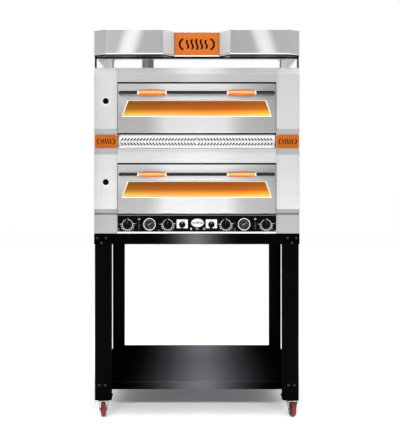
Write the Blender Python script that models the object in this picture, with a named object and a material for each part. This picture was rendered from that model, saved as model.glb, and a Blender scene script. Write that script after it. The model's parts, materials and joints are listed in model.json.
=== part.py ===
"""Double-deck electric pizza oven on an open stand with swivel casters, under an open-backed hood.

World frame in metres: +Z up, the doors face -Y, +X is the viewer's right.
The origin is on the floor, under the middle of the whole object.
"""

import math

import bmesh
import bpy
from mathutils import Matrix, Vector

# Driving dimensions.
WIDTH = 0.930
DEPTH = 0.850
LEG_BOTTOM = 0.074
SHELF_LOW = 0.124
SHELF_TOP = 0.159
BEAM_LOW = 0.7815
OVEN_LOW = 0.830
PANEL_LOW = 0.8388
PANEL_TOP = 0.910
LOWER_HINGE = 0.927
UPPER_HINGE = 1.293
BAND_LOW = 1.216
BAND_TOP = 1.278
OVEN_TOP = 1.5815
HOOD_LOW = 1.632
HOOD_TOP = 1.743
COLLAR_TOP = 1.800

# Sheet, gaps and small reaches.
GAP = 0.0003
SHEET = 0.002
THICK_SHEET = 0.003
GRIP_REACH = 0.0585
GLAND_REACH = 0.025
HALF = WIDTH / 2

# Sides of a round piece: slim rods and holes, then larger turned pieces.
COARSE = 12
FINE = 20

# The front plane of the doors, placed so that the whole object is centred on Y = 0.
FRONT = (GRIP_REACH - DEPTH - GLAND_REACH) / 2

# Pillars and the opening between them.
PILLAR_IN = 0.3598
INNER_HALF = PILLAR_IN - GAP
PILLAR_DEEP = 0.060
WRAP_DEEP = 0.030
SETBACK = 0.006
RECESS = 0.012
SLOPE_LOW = 0.942
SLOPE_MID = 1.188
SLOPE_HIGH = 1.306
CHAMFER_LOW = 1.554
STEP_Z = 0.916

# One deck, measured from the hinge axis of its door.
HINGE_DEEP = 0.0135
DOOR_HALF = 0.3575
DOOR_LOW = -0.008
DOOR_HIGH = 0.215
DOOR_THICK = 0.030
DOOR_CHAMFER = 0.003
PIN_RADIUS = 0.004
PIN_LENGTH = 0.0085
WINDOW_LOW = 0.069
WINDOW_HIGH = 0.138
WINDOW_LOW_HALF = 0.336
WINDOW_HIGH_HALF = 0.3105
GLASS_THICK = 0.005
GLASS_LAP = 0.012
BAR_HIGH = 0.1705
BAR_OUT = 0.045
BAR_RADIUS = 0.007
BAR_HALF = 0.352
GRIP_X = 0.200
GRIP_LENGTH = 0.131
GRIP_RADIUS = 0.0135
SLIT = 0.0075
VENT_X = 0.411
VENT_HIGH = 0.1355
VENT_DEEP = 0.650
VENT_RADIUS = 0.024

# Baking chamber, from the hinge axis and the front plane.
CAVITY_HALF = 0.345
CAVITY_LOW = 0.013
CAVITY_HIGH = 0.183
CAVITY_FRONT = 0.034
CAVITY_BACK = 0.740
STONE_TOP = 0.050
STONE_THICK = 0.018
ELEMENT_RADIUS = 0.004

# Controls.
KNOB_Z = 0.870
DIAL_Z = 0.872
THERMOSTAT_X = (-0.314, -0.1315, 0.1315, 0.314)
SWITCH_X = (-0.066, 0.066)
DIAL_X = (-0.214, 0.214)
DECKS = {"lower": LOWER_HINGE, "upper": UPPER_HINGE}
SIDES = {"left": -1, "right": 1}

# Casters: the wheel trails to the front, turned a little to the right.
WHEEL_RADIUS = 0.033
WHEEL_HALF = 0.011
CASTER_IN = 0.0365
CASTER_DEEP = 0.035
TRAIL = 0.022
YAW = math.radians(12)

# Hood plan, from the front plane.
HOOD_FRONT = -0.056
HOOD_CORNER_DEEP = -0.014
HOOD_CORNER_X = 0.406
HOOD_FACET_X = 0.150
HOOD_RECESS_X = 0.104
HOOD_RECESS_DEEP = 0.013
HOOD_LIP_DEEP = 0.054
POST_DEEP = 0.014
FLUES = ((-0.249, 0.650), (-0.281, 0.795))
FLUE_RADIUS = 0.021
DUCT_DEEP = 0.480
DUCT_RADIUS = 0.077

# The two coordinates of an outline, then the one it is extruded along.
PLANES = {"X": (1, 2, 0), "Y": (0, 2, 1), "Z": (0, 1, 2)}


def clear_scene():
    for old in list(bpy.data.objects):
        bpy.data.objects.remove(old, do_unlink=True)


def back(depth):
    """World Y of a point this far behind the front plane."""
    return FRONT + depth


# Shells, added to a bmesh in world coordinates.


def add_prism(bm, outline, axis, low, high):
    first, second, along = PLANES[axis]
    rings = []
    for height in (low, high):
        ring = []
        for point in outline:
            place = [0.0, 0.0, 0.0]
            place[first] = point[0]
            place[second] = point[1]
            place[along] = height
            ring.append(bm.verts.new(place))
        rings.append(ring)
        bm.faces.new(ring)
    lower, upper = rings
    for i in range(len(outline)):
        j = (i + 1) % len(outline)
        bm.faces.new((lower[i], lower[j], upper[j], upper[i]))


def add_box(bm, low, high):
    outline = [(low[0], low[1]), (high[0], low[1]), (high[0], high[1]), (low[0], high[1])]
    add_prism(bm, outline, "Z", low[2], high[2])


def add_turned(bm, profile, centre, direction, segments=FINE, ring=False):
    """A profile of (radius, distance) turned about an axis; ring closes it on itself."""
    turn = Vector(direction).to_track_quat("Z", "X").to_matrix().to_4x4()
    place = Matrix.Translation(centre) @ turn
    rows = []
    for radius, distance in profile:
        row = []
        for k in range(segments):
            angle = 2 * math.pi * k / segments
            point = Vector((radius * math.cos(angle), radius * math.sin(angle), distance))
            row.append(bm.verts.new(place @ point))
        rows.append(row)
    pairs = list(zip(rows, rows[1:]))
    if ring:
        pairs.append((rows[-1], rows[0]))
    else:
        bm.faces.new(rows[0])
        bm.faces.new(rows[-1])
    for near, far in pairs:
        for k in range(segments):
            n = (k + 1) % segments
            bm.faces.new((near[k], near[n], far[n], far[k]))


def add_rod(bm, radius, start, end, segments=COARSE):
    along = Vector(end) - Vector(start)
    add_turned(bm, [(radius, 0), (radius, along.length)], start, along, segments)


def arc(centre, radius, start, end, steps=4):
    """Points of an arc in degrees, both ends included."""
    points = []
    for k in range(steps + 1):
        angle = math.radians(start + (end - start) * k / steps)
        points.append((centre[0] + radius * math.cos(angle), centre[1] + radius * math.sin(angle)))
    return points


# Objects.


def material(name, colour, roughness, metallic):
    made = bpy.data.materials.new(name)
    made.use_nodes = True
    shader = made.node_tree.nodes["Principled BSDF"]
    shader.inputs["Base Color"].default_value = (*colour, 1)
    shader.inputs["Roughness"].default_value = roughness
    shader.inputs["Metallic"].default_value = metallic
    return made


def link(name, mesh, origin, finish=None):
    obj = bpy.data.objects.new(name, mesh)
    obj.location = origin
    bpy.context.collection.objects.link(obj)
    if finish is not None:
        mesh.materials.append(finish)
    return obj


def mesh_of(name, bm, origin):
    bmesh.ops.recalc_face_normals(bm, faces=bm.faces)
    bmesh.ops.translate(bm, verts=bm.verts, vec=-Vector(origin))
    mesh = bpy.data.meshes.new(name)
    bm.to_mesh(mesh)
    bm.free()
    mesh.shade_smooth()
    mesh.set_sharp_from_angle(angle=math.radians(30))
    return mesh


def solid(name, finish, base, joins=(), cuts=(), origin=(0, 0, 0)):
    """A node made of a base shell, with shells joined to it and then shells cut from it.

    base, and each of joins and cuts, is a function that adds shells to a bmesh.
    """
    bm = bmesh.new()
    base(bm)
    obj = link(name, mesh_of(name, bm, origin), origin, finish)
    steps = [("UNION", add) for add in joins] + [("DIFFERENCE", add) for add in cuts]
    for count, (operation, add) in enumerate(steps):
        tool_bm = bmesh.new()
        add(tool_bm)
        tool_name = f"{name}_tool_{count}"
        tool = link(tool_name, mesh_of(tool_name, tool_bm, origin), origin)
        tool.hide_render = True
        tool.display_type = "WIRE"
        boolean = obj.modifiers.new(operation.title(), "BOOLEAN")
        boolean.operation = operation
        boolean.solver = "EXACT"
        boolean.object = tool
    return obj


def box(low, high):
    return lambda bm: add_box(bm, low, high)


def prism(outline, axis, low, high):
    return lambda bm: add_prism(bm, outline, axis, low, high)


def rod(radius, start, end, segments=COARSE):
    return lambda bm: add_rod(bm, radius, start, end, segments)


# Stand.


def make_leg(name, side, end, wide, deep, finish):
    """An angle-section leg with a foot plate. end is -1 at the front and 1 at the back."""
    outer_x = side * (HALF - THICK_SHEET - GAP)
    edge = FRONT if end < 0 else back(DEPTH)
    outer_y = edge - end * (THICK_SHEET + GAP)
    top = OVEN_LOW - THICK_SHEET - GAP
    corner = 0.010
    inner_x = outer_x - side * wide
    inner_y = outer_y - end * deep
    foot = (LEG_BOTTOM + 0.012, LEG_BOTTOM + 0.016)

    def flange(outer, inner):
        step = math.copysign(corner, outer - inner)
        turn = [(inner + step * (1 - c), LEG_BOTTOM + corner * (1 - s)) for c, s in arc((0, 0), 1, 0, 90)]
        return [(outer, top), (inner, top), *turn, (outer, LEG_BOTTOM)]

    def face(bm):
        add_prism(bm, flange(outer_x, inner_x), "Y", outer_y, outer_y - end * THICK_SHEET)

    def cheek(bm):
        add_prism(bm, flange(outer_y, inner_y), "X", outer_x, outer_x - side * THICK_SHEET)

    def plate(bm):
        low = (min(outer_x, inner_x) + 0.001, min(outer_y, inner_y) + 0.001, foot[0])
        high = (max(outer_x, inner_x) - 0.001, max(outer_y, inner_y) - 0.001, foot[1])
        add_box(bm, low, high)

    pivot = caster_pivot(side, end)
    hole = rod(0.0053, (pivot.x, pivot.y, foot[0] - 0.01), (pivot.x, pivot.y, foot[1] + 0.01))
    solid(name, finish, face, [cheek, plate], [hole])


def caster_pivot(side, end):
    edge = FRONT if end < 0 else back(DEPTH)
    return Vector((side * (HALF - CASTER_IN), edge - end * CASTER_DEEP, 0))


def make_stand(finish):
    for word, side in SIDES.items():
        make_leg(f"stand_leg_front_{word}", side, -1, 0.078, 0.060, finish)
        make_leg(f"stand_leg_rear_{word}", side, 1, 0.062, 0.050, finish)

    outer = box((-HALF, FRONT, BEAM_LOW), (HALF, back(DEPTH), OVEN_LOW))
    wall = THICK_SHEET
    inside = box(
        (-HALF + wall, back(wall), BEAM_LOW - 0.01),
        (HALF - wall, back(DEPTH - wall), OVEN_LOW - wall),
    )
    flange = 0.040
    window = box(
        (-HALF + flange, back(flange), OVEN_LOW - 0.01),
        (HALF - flange, back(DEPTH - flange), OVEN_LOW + 0.01),
    )
    solid("stand_top_frame", finish, outer, cuts=[inside, window])

    inset = 2 * (THICK_SHEET + GAP)
    outer = box((-HALF + inset, back(inset), SHELF_LOW), (HALF - inset, back(DEPTH - inset), SHELF_TOP))
    lip = inset + SHEET
    pocket = box(
        (-HALF + lip, back(lip), SHELF_LOW - 0.01),
        (HALF - lip, back(DEPTH - lip), SHELF_TOP - SHEET),
    )
    solid("stand_shelf", finish, outer, cuts=[pocket])


# Casters.


def make_caster(name, side, end, steel, tyre):
    """A fork that swivels on its stem and a wheel on the fork's axle, built square and then turned."""
    pivot = caster_pivot(side, end)
    turn = Matrix.Translation(pivot) @ Matrix.Rotation(YAW, 4, "Z")
    hub = Vector((0, -TRAIL, WHEEL_RADIUS))
    crown_low = 0.069
    crown_top = 0.0722
    cheek_in = WHEEL_HALF + 0.0018
    cheek_out = cheek_in + 0.0026

    def crown(bm):
        outline = [*arc((0, 0), cheek_out + 0.004, 0, 180, 8), (-cheek_out, -0.034), (cheek_out, -0.034)]
        add_prism(bm, outline, "Z", crown_low, crown_top)

    def cheeks(bm):
        outline = arc((hub.y, hub.z), 0.011, 180, 340)
        outline += [(0.014, crown_top - 0.001), (-0.033, crown_top - 0.001)]
        for sign in (-1, 1):
            add_prism(bm, outline, "X", sign * cheek_in, sign * cheek_out)

    def axle(bm):
        add_rod(bm, PIN_RADIUS, (-cheek_out - 0.003, hub.y, hub.z), (cheek_out + 0.003, hub.y, hub.z))

    def stem(bm):
        profile = [(0.0125, crown_top - 0.001), (0.0125, 0.080), (0.005, 0.080), (0.005, 0.099)]
        add_turned(bm, profile, (0, 0, 0), (0, 0, 1), COARSE)

    fork = solid(f"caster_fork_{name}", steel, crown, [cheeks, axle, stem])

    def wheel(bm):
        rim = WHEEL_RADIUS
        half = WHEEL_HALF
        profile = [(0.0043, -half), (0.012, -half), (0.013, -0.007), (0.024, -0.007), (0.026, -0.010)]
        profile += [(rim - 0.003, -0.010), (rim, -0.006)]
        profile += [(radius, -distance) for radius, distance in reversed(profile)]
        add_turned(bm, profile, hub, (1, 0, 0), ring=True)

    disc = solid(f"caster_wheel_{name}", tyre, wheel)
    for obj in (fork, disc):
        place_with_tools(obj, turn)


def place_with_tools(obj, matrix):
    obj.matrix_world = matrix
    for modifier in obj.modifiers:
        modifier.object.matrix_world = matrix


# Oven body.


def pillar_profile():
    """Front edge of a pillar as (depth, height), bottom to top."""
    top = OVEN_TOP - SHEET - GAP
    top_depth = RECESS * (top - CHAMFER_LOW) / (OVEN_TOP - CHAMFER_LOW)
    return [
        (SETBACK, OVEN_LOW + GAP),
        (SETBACK, STEP_Z),
        (RECESS, STEP_Z),
        (0, SLOPE_LOW),
        (0, SLOPE_MID),
        (RECESS, BAND_LOW - 0.001),
        (RECESS, BAND_TOP + 0.001),
        (0, SLOPE_HIGH),
        (0, CHAMFER_LOW),
        (top_depth, top),
    ]


def world_outline(points):
    return [(back(depth), height) for depth, height in points]


def make_pillar(word, side, finish):
    profile = pillar_profile()
    top = profile[-1][1]
    low = profile[0][1]
    block = world_outline([*profile, (PILLAR_DEEP, top), (PILLAR_DEEP, low)])
    inner = [(depth + SHEET, height) for depth, height in profile]
    inner[0] = (inner[0][0], low - 0.01)
    inner[-1] = (inner[-1][0] + 0.004, top + 0.01)
    hollow = world_outline([*inner, (PILLAR_DEEP + 0.01, top + 0.01), (PILLAR_DEEP + 0.01, low - 0.01)])
    channel = prism(hollow, "X", side * (PILLAR_IN + SHEET), side * (HALF - SHEET))
    open_back = box(
        (min(side * (HALF - 0.02), side * (HALF + 0.01)), back(WRAP_DEEP), low - 0.01),
        (max(side * (HALF - 0.02), side * (HALF + 0.01)), back(PILLAR_DEEP + 0.01), top + 0.01),
    )

    def holes(bm):
        for hinge in DECKS.values():
            start = (side * (PILLAR_IN - 0.01), back(HINGE_DEEP), hinge)
            add_rod(bm, PIN_RADIUS + GAP, start, (side * (PILLAR_IN + 0.01), back(HINGE_DEEP), hinge))
            if side < 0:
                start = (-VENT_X, FRONT - 0.01, hinge + VENT_HIGH)
                add_rod(bm, 0.0036, start, (-VENT_X, back(0.02), hinge + VENT_HIGH))

    base = prism(block, "X", side * PILLAR_IN, side * HALF)
    solid(f"pillar_{word}", finish, base, cuts=[channel, open_back, holes])


def make_panels(finish):
    body_top = OVEN_TOP - SHEET - GAP
    for word, side in SIDES.items():
        make_pillar(word, side, finish)
        edges = sorted((side * (HALF - SHEET), side * HALF))
        low = (edges[0], back(WRAP_DEEP + GAP), OVEN_LOW + GAP)
        solid(f"side_panel_{word}", finish, box(low, (edges[1], back(DEPTH), body_top)))

    # Floor pan with a front lip between the pillars, and the rear wall.
    pan_half = HALF - SHEET - GAP
    step = back(PILLAR_DEEP + GAP)
    low = OVEN_LOW + GAP
    pan = [(-pan_half, step), (-INNER_HALF, step), (-INNER_HALF, FRONT), (INNER_HALF, FRONT)]
    pan += [(INNER_HALF, step), (pan_half, step), (pan_half, back(DEPTH)), (-pan_half, back(DEPTH))]
    pan_top = PANEL_LOW - GAP
    pocket_half = INNER_HALF - SHEET
    pocket = box((-pocket_half, back(SHEET), low - 0.01), (pocket_half, back(DEPTH - SHEET), pan_top - SHEET))
    wall = box((-pan_half, back(DEPTH - SHEET), low), (pan_half, back(DEPTH), body_top))
    gland = rod(0.0103, (0.380, back(DEPTH - 0.02), 0.900), (0.380, back(DEPTH + 0.02), 0.900))
    solid("chassis", finish, prism(pan, "Z", low, pan_top), [wall], [pocket, gland])

    # Top sheet, with the upper fascia folded down in front.
    top = box((-HALF, back(RECESS), OVEN_TOP - SHEET), (HALF, back(DEPTH), OVEN_TOP))
    fascia_low = UPPER_HINGE + DOOR_HIGH + SLIT
    drop = [(0, fascia_low), (0, CHAMFER_LOW), (RECESS, OVEN_TOP), (RECESS + 0.01, OVEN_TOP)]
    drop += [(RECESS + 0.01, OVEN_TOP - SHEET), (RECESS + 0.001, OVEN_TOP - SHEET), (SHEET, CHAMFER_LOW)]
    drop += [(SHEET, fascia_low + SHEET), (0.018, fascia_low + SHEET), (0.018, fascia_low)]
    wide = FLUE_RADIUS + 0.001
    holes = [rod(wide, (x, back(y), OVEN_TOP - 0.01), (x, back(y), OVEN_TOP + 0.01), FINE) for x, y in FLUES]
    solid("top_cover", finish, prism(world_outline(drop), "X", -INNER_HALF, INNER_HALF), [top], holes)

    # Lower fascia, folded back at its foot and at its head.
    low = LOWER_HINGE + DOOR_HIGH + SLIT
    head = BAND_LOW - GAP
    fold = [(0, low), (0, SLOPE_MID), (RECESS, head), (0.022, head), (0.022, head - SHEET)]
    fold += [(RECESS + 0.0014, head - SHEET), (SHEET, SLOPE_MID), (SHEET, low + SHEET)]
    fold += [(0.018, low + SHEET), (0.018, low)]
    solid("fascia_lower", finish, prism(world_outline(fold), "X", -INNER_HALF, INNER_HALF))

    # Vent band between the decks.
    band = [(RECESS, BAND_LOW), (RECESS, BAND_TOP), (0.022, BAND_TOP), (0.022, BAND_TOP - SHEET)]
    band += [(RECESS + SHEET, BAND_TOP - SHEET), (RECESS + SHEET, BAND_LOW)]
    solid("vent_band", finish, prism(world_outline(band), "X", -INNER_HALF, INNER_HALF))


def make_badges(finish):
    for word, side in SIDES.items():
        edges = sorted((side * (PILLAR_IN + 0.001), side * (HALF - 0.001)))
        low = (edges[0], back(RECESS - 0.002), BAND_LOW)
        high = (edges[1], back(RECESS - GAP), BAND_TOP)
        solid(f"badge_plate_{word}", finish, box(low, high))
    low = (-HOOD_RECESS_X + 0.002, back(HOOD_RECESS_DEEP - 0.002), HOOD_LOW + 0.003)
    high = (HOOD_RECESS_X - 0.002, back(HOOD_RECESS_DEEP - GAP), HOOD_TOP - 0.002)
    solid("hood_badge", finish, box(low, high))


# Chambers.


def make_deck(word, hinge, steel, stone, element):
    floor = hinge + CAVITY_LOW
    ceiling = hinge + CAVITY_HIGH
    lip = CAVITY_FRONT + SHEET
    flange = box(
        (-INNER_HALF, back(CAVITY_FRONT), hinge - 0.007),
        (INNER_HALF, back(lip), hinge + DOOR_HIGH - 0.002),
    )
    shell = box(
        (-CAVITY_HALF - SHEET, back(CAVITY_FRONT + 0.001), floor - SHEET),
        (CAVITY_HALF + SHEET, back(CAVITY_BACK + SHEET), ceiling + SHEET),
    )
    cavity = box((-CAVITY_HALF, back(0), floor), (CAVITY_HALF, back(CAVITY_BACK), ceiling))
    ledge_top = hinge + STONE_TOP - STONE_THICK - GAP

    def ledges(bm):
        for side in SIDES.values():
            edges = sorted((side * (CAVITY_HALF + 0.001), side * (CAVITY_HALF - 0.022)))
            add_box(bm, (edges[0], back(0.050), ledge_top - 0.003), (edges[1], back(0.730), ledge_top))

    runs = (hinge + 0.0215, hinge + 0.172)
    terminal = 0.300

    def holes(bm):
        vent_y = back(VENT_DEEP)
        vent_z = hinge + VENT_HIGH
        add_rod(bm, VENT_RADIUS, (-CAVITY_HALF - 0.01, vent_y, vent_z), (0.01 - CAVITY_HALF, vent_y, vent_z))
        for height in runs:
            for x in (-terminal, terminal):
                start = (x, back(CAVITY_BACK - 0.01), height)
                add_rod(bm, ELEMENT_RADIUS + 0.0005, start, (x, back(CAVITY_BACK + 0.01), height))

    # The opening is cut before the ledges go in, so both are made from the open shell.
    obj = solid(f"chamber_{word}", steel, flange, [shell], [cavity, holes])
    ledge_bm = bmesh.new()
    ledges(ledge_bm)
    tool = link(f"chamber_{word}_ledges", mesh_of("ledges", ledge_bm, (0, 0, 0)), (0, 0, 0))
    tool.hide_render = True
    tool.display_type = "WIRE"
    joined = obj.modifiers.new("Ledges", "BOOLEAN")
    joined.operation = "UNION"
    joined.solver = "EXACT"
    joined.object = tool

    slab_low = (-CAVITY_HALF + 0.003, back(0.044), hinge + STONE_TOP - STONE_THICK)
    solid(f"stone_{word}", stone, box(slab_low, (CAVITY_HALF - 0.003, back(0.736), hinge + STONE_TOP)))
    for place, height in zip(("bottom", "top"), runs):
        make_element(f"element_{word}_{place}", height, terminal, element)


def make_element(name, height, terminal, finish):
    """Six long runs joined by U bends, with both ends through the rear wall."""
    runs = 6
    pitch = 2 * terminal / (runs - 1)
    near = 0.140
    far = 0.650
    path = [(-terminal, CAVITY_BACK + 0.030)]
    for k in range(runs - 1):
        x = -terminal + pitch * (k + 0.5)
        if k % 2 == 0:
            path += arc((x, near), pitch / 2, 180, 360)
        else:
            path += arc((x, far), pitch / 2, 180, 0)
    path.append((terminal, CAVITY_BACK + 0.030))
    curve = bpy.data.curves.new(name, "CURVE")
    curve.dimensions = "3D"
    curve.bevel_depth = ELEMENT_RADIUS
    curve.bevel_resolution = 1
    curve.use_fill_caps = True
    spline = curve.splines.new("POLY")
    spline.points.add(len(path) - 1)
    for point, (x, depth) in zip(spline.points, path):
        point.co = (x, back(depth), height, 1)
    link(name, curve, (0, 0, 0), finish)


# Doors.


def trapezoid(hinge, lap):
    return [
        (-WINDOW_LOW_HALF - lap, hinge + WINDOW_LOW - lap),
        (WINDOW_LOW_HALF + lap, hinge + WINDOW_LOW - lap),
        (WINDOW_HIGH_HALF + lap, hinge + WINDOW_HIGH + lap),
        (-WINDOW_HIGH_HALF - lap, hinge + WINDOW_HIGH + lap),
    ]


def make_door(word, hinge, steel, glass, dark, wood):
    axis = Vector((0, back(HINGE_DEEP), hinge))
    low = hinge + DOOR_LOW
    high = hinge + DOOR_HIGH
    section = [(DOOR_CHAMFER, low), (0, low + DOOR_CHAMFER), (0, high), (DOOR_THICK, high), (DOOR_THICK, low)]
    tray = prism(world_outline(section), "X", -DOOR_HALF, DOOR_HALF)
    hollow = box(
        (-DOOR_HALF + SHEET, back(SHEET), low + SHEET + DOOR_CHAMFER),
        (DOOR_HALF - SHEET, back(DOOR_THICK + 0.01), high - SHEET),
    )
    window = prism(trapezoid(hinge, 0), "Y", FRONT - 0.01, back(SHEET + 0.005))

    def pins(bm):
        for side in SIDES.values():
            start = axis + Vector((side * (DOOR_HALF - 0.001), 0, 0))
            add_rod(bm, PIN_RADIUS, start, axis + Vector((side * (DOOR_HALF + PIN_LENGTH), 0, 0)))

    solid(f"door_{word}_panel", steel, tray, [pins], [hollow, window], origin=axis)
    pane = prism(trapezoid(hinge, GLASS_LAP), "Y", back(SHEET + GAP), back(SHEET + GAP + GLASS_THICK))
    solid(f"door_{word}_glass", glass, pane, origin=axis)

    bar_y = back(-BAR_OUT)
    bar_z = hinge + BAR_HIGH
    bar = rod(BAR_RADIUS, (-BAR_HALF, bar_y, bar_z), (BAR_HALF, bar_y, bar_z))

    def standoffs(bm):
        for side in SIDES.values():
            x = side * (BAR_HALF - BAR_RADIUS - 0.001)
            add_rod(bm, BAR_RADIUS - 0.001, (x, bar_y, bar_z), (x, back(-GAP), bar_z))

    solid(f"door_{word}_bar", dark, bar, [standoffs], origin=axis)
    for side_word, side in SIDES.items():
        rows = []
        steps = 6
        for k in range(steps + 1):
            share = k / steps
            swell = math.sin(math.pi * share)
            rows.append((GRIP_RADIUS * (0.72 + 0.28 * swell), (share - 0.5) * GRIP_LENGTH))
        bore = BAR_RADIUS + GAP
        profile = [(bore, -GRIP_LENGTH / 2), *rows, (bore, GRIP_LENGTH / 2)]
        centre = (side * GRIP_X, bar_y, bar_z)
        name = f"door_{word}_grip_{side_word}"

        def grip(bm, p=profile, c=centre):
            add_turned(bm, p, c, (1, 0, 0), COARSE, ring=True)

        solid(name, wood, grip, origin=axis)


# Controls.


def make_controls(steel, black, dial):
    face = SETBACK
    depth = 0.028
    fold = [(face, PANEL_LOW), (face, PANEL_TOP), (depth, PANEL_TOP), (depth, PANEL_TOP - SHEET)]
    fold += [(face + SHEET, PANEL_TOP - SHEET), (face + SHEET, PANEL_LOW + SHEET)]
    fold += [(depth, PANEL_LOW + SHEET), (depth, PANEL_LOW)]

    def bores(bm):
        for x in (*THERMOSTAT_X, *SWITCH_X):
            add_rod(bm, 0.0033, (x, back(0), KNOB_Z), (x, back(0.02), KNOB_Z))
        for x in DIAL_X:
            add_rod(bm, 0.0256, (x, back(0), DIAL_Z), (x, back(0.02), DIAL_Z), FINE)

    solid("control_panel", black, prism(world_outline(fold), "X", -INNER_HALF, INNER_HALF), cuts=[bores])

    skirt = face - GAP
    for count, x in enumerate(THERMOSTAT_X):
        profile = [(0.003, -0.025), (0.003, 0), (0.021, 0), (0.021, 0.005), (0.017, 0.008), (0.0165, 0.020)]
        centre = (x, back(skirt), KNOB_Z)

        def body(bm, p=profile, c=centre):
            add_turned(bm, p, c, (0, -1, 0))

        ridge_low = (x - 0.004, back(skirt - 0.0235), KNOB_Z - 0.0155)
        ridge = box(ridge_low, (x + 0.004, back(skirt - 0.019), KNOB_Z + 0.0155))
        solid(f"thermostat_knob_{count + 1}", black, body, [ridge], origin=centre)

    for word, x in zip(SIDES, SWITCH_X):
        centre = (x, back(skirt), KNOB_Z)
        profile = [(0.003, -0.025), (0.003, 0), (0.0145, 0), (0.0140, 0.009)]

        def disc(bm, p=profile, c=centre):
            add_turned(bm, p, c, (0, -1, 0))

        nose = [(-0.0045, 0.0125), (-0.0080, -0.010), (-0.0055, -0.0225), (-0.0025, -0.0225), (0.0035, -0.012)]
        nose.append((0.0045, 0.0125))
        pointer = prism([(x + a, KNOB_Z + b) for a, b in nose], "Y", back(skirt - 0.017), back(skirt - 0.006))
        solid(f"switch_knob_{word}", black, disc, [pointer], origin=centre)

    for word, x in zip(SIDES, DIAL_X):
        centre = (x, back(face), DIAL_Z)
        shell = [(0.0250, -0.034), (0.0250, -GAP), (0.0251, GAP), (0.0290, GAP), (0.0290, 0.004)]
        shell += [(0.0265, 0.006), (0.0240, 0.006), (0.0240, -0.008), (0.0015, -0.008), (0.0015, -0.034)]

        def case(bm, p=shell, c=centre):
            add_turned(bm, p, c, (0, -1, 0), ring=True)

        solid(f"thermometer_case_{word}", dial, case)
        shaft = [(0.0012, -0.020), (0.0012, -0.003), (0.0030, -0.003), (0.0030, 0.001)]
        blade = [(-0.0012, -0.009), (0.0012, -0.009), (0.0004, 0.0165), (-0.0004, 0.0165)]
        tilt = math.radians(-60)

        def needle(bm, c=centre, tilt=tilt):
            turned = [
                (c[0] + a * math.cos(tilt) - b * math.sin(tilt), c[2] + a * math.sin(tilt) + b * math.cos(tilt))
                for a, b in blade
            ]
            add_prism(bm, turned, "Y", c[1] + 0.0005, c[1] + 0.0018)

        def hub(bm, p=shaft, c=centre):
            add_turned(bm, p, c, (0, -1, 0), COARSE)

        solid(f"thermometer_needle_{word}", black, needle, [hub], origin=centre)


def make_vent_pull(word, hinge, dark):
    """Knob, push rod, cranked arm and the sliding gate over the chamber's vent hole."""
    z = hinge + VENT_HIGH
    start = (-VENT_X, back(-GAP), z)
    knob = [(0.003, -0.640), (0.003, 0), (0.0095, 0), (0.0135, 0.004), (0.0135, 0.012), (0.0110, 0.0145)]

    def body(bm):
        add_turned(bm, knob, start, (0, -1, 0), COARSE)

    arm = box((-VENT_X - 0.004, back(0.632), z - 0.006), (-0.3480, back(0.640), z + 0.006))
    gate = box((-0.3495, back(0.615), z - 0.032), (-CAVITY_HALF - SHEET - GAP, back(0.685), z + 0.032))
    solid(f"vent_pull_{word}", dark, body, [arm, gate], origin=start)


# Hood, flues and cable inlet.


def hood_outline(inset):
    """Plan of the hood's skirt, pulled in by inset; the back edge stays on the rear plane."""
    side = HALF - inset
    front = back(HOOD_FRONT + inset)
    recess = back(HOOD_RECESS_DEEP + inset)
    shift = inset * 0.5
    half = [
        (side, back(DEPTH)),
        (side, back(HOOD_CORNER_DEEP) + shift),
        (HOOD_CORNER_X - shift, front),
        (HOOD_FACET_X + shift, front),
        (HOOD_RECESS_X + shift, recess),
    ]
    return half + [(-x, y) for x, y in reversed(half)]


def make_hood(steel, dark):
    low = HOOD_LOW + GAP
    skin = 0.0015
    inner = hood_outline(skin)
    inner[0] = (inner[0][0], back(DEPTH + 0.02))
    inner[-1] = (inner[-1][0], back(DEPTH + 0.02))
    inside = prism(inner, "Z", low + skin, HOOD_TOP - skin)
    # The mouth has a notch in the front lip for each front post.
    edge = HALF - skin
    notch = (edge - 0.0060, back(POST_DEEP - GAP))
    lip = back(HOOD_LIP_DEEP + GAP)
    rear = back(DEPTH + 0.02)
    half_mouth = [(edge, rear), (edge, notch[1]), notch, (notch[0], lip)]
    mouth = prism(half_mouth + [(-x, y) for x, y in reversed(half_mouth)], "Z", low - 0.02, low + 0.03)
    duct = (0, back(DUCT_DEEP), HOOD_TOP - skin)
    collar = rod(DUCT_RADIUS, duct, (0, back(DUCT_DEEP), COLLAR_TOP), FINE)
    bore_top = (0, back(DUCT_DEEP), COLLAR_TOP + 0.01)
    bore = rod(DUCT_RADIUS - skin, (0, back(DUCT_DEEP), HOOD_TOP - 0.02), bore_top, FINE)
    wide = FLUE_RADIUS + 0.001
    flues = [rod(wide, (x, back(y), HOOD_TOP - 0.01), (x, back(y), HOOD_TOP + 0.01), FINE) for x, y in FLUES]
    outer = prism(hood_outline(0), "Z", low, HOOD_TOP)
    solid("hood_shell", steel, outer, [collar], [inside, mouth, bore, *flues])

    # Frame: four flat posts on the oven's top, a front and a rear rail under the hood, side rails inside it.
    post_out = HALF - skin - GAP
    post_in = post_out - 0.005
    foot = OVEN_TOP + GAP
    head = HOOD_TOP - skin - GAP
    fronts = (POST_DEEP, DEPTH - 0.040)

    def posts(bm):
        for side in SIDES.values():
            edges = sorted((side * post_in, side * post_out))
            for near in fronts:
                add_box(bm, (edges[0], back(near), foot), (edges[1], back(near + 0.040), head))

    def rails(bm):
        for near in (0.034, DEPTH - 0.020):
            far = back(near + 0.020)
            add_box(bm, (-post_in - 0.001, back(near), HOOD_LOW - 0.005), (post_in + 0.001, far, HOOD_LOW))

    def side_rails(bm):
        for side in SIDES.values():
            edges = sorted((side * (post_in - 0.010), side * (post_in + 0.001)))
            add_box(bm, (edges[0], back(0.020), head - 0.004), (edges[1], back(DEPTH - 0.006), head - 0.0005))

    solid("hood_frame", dark, posts, [rails, side_rails])


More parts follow.
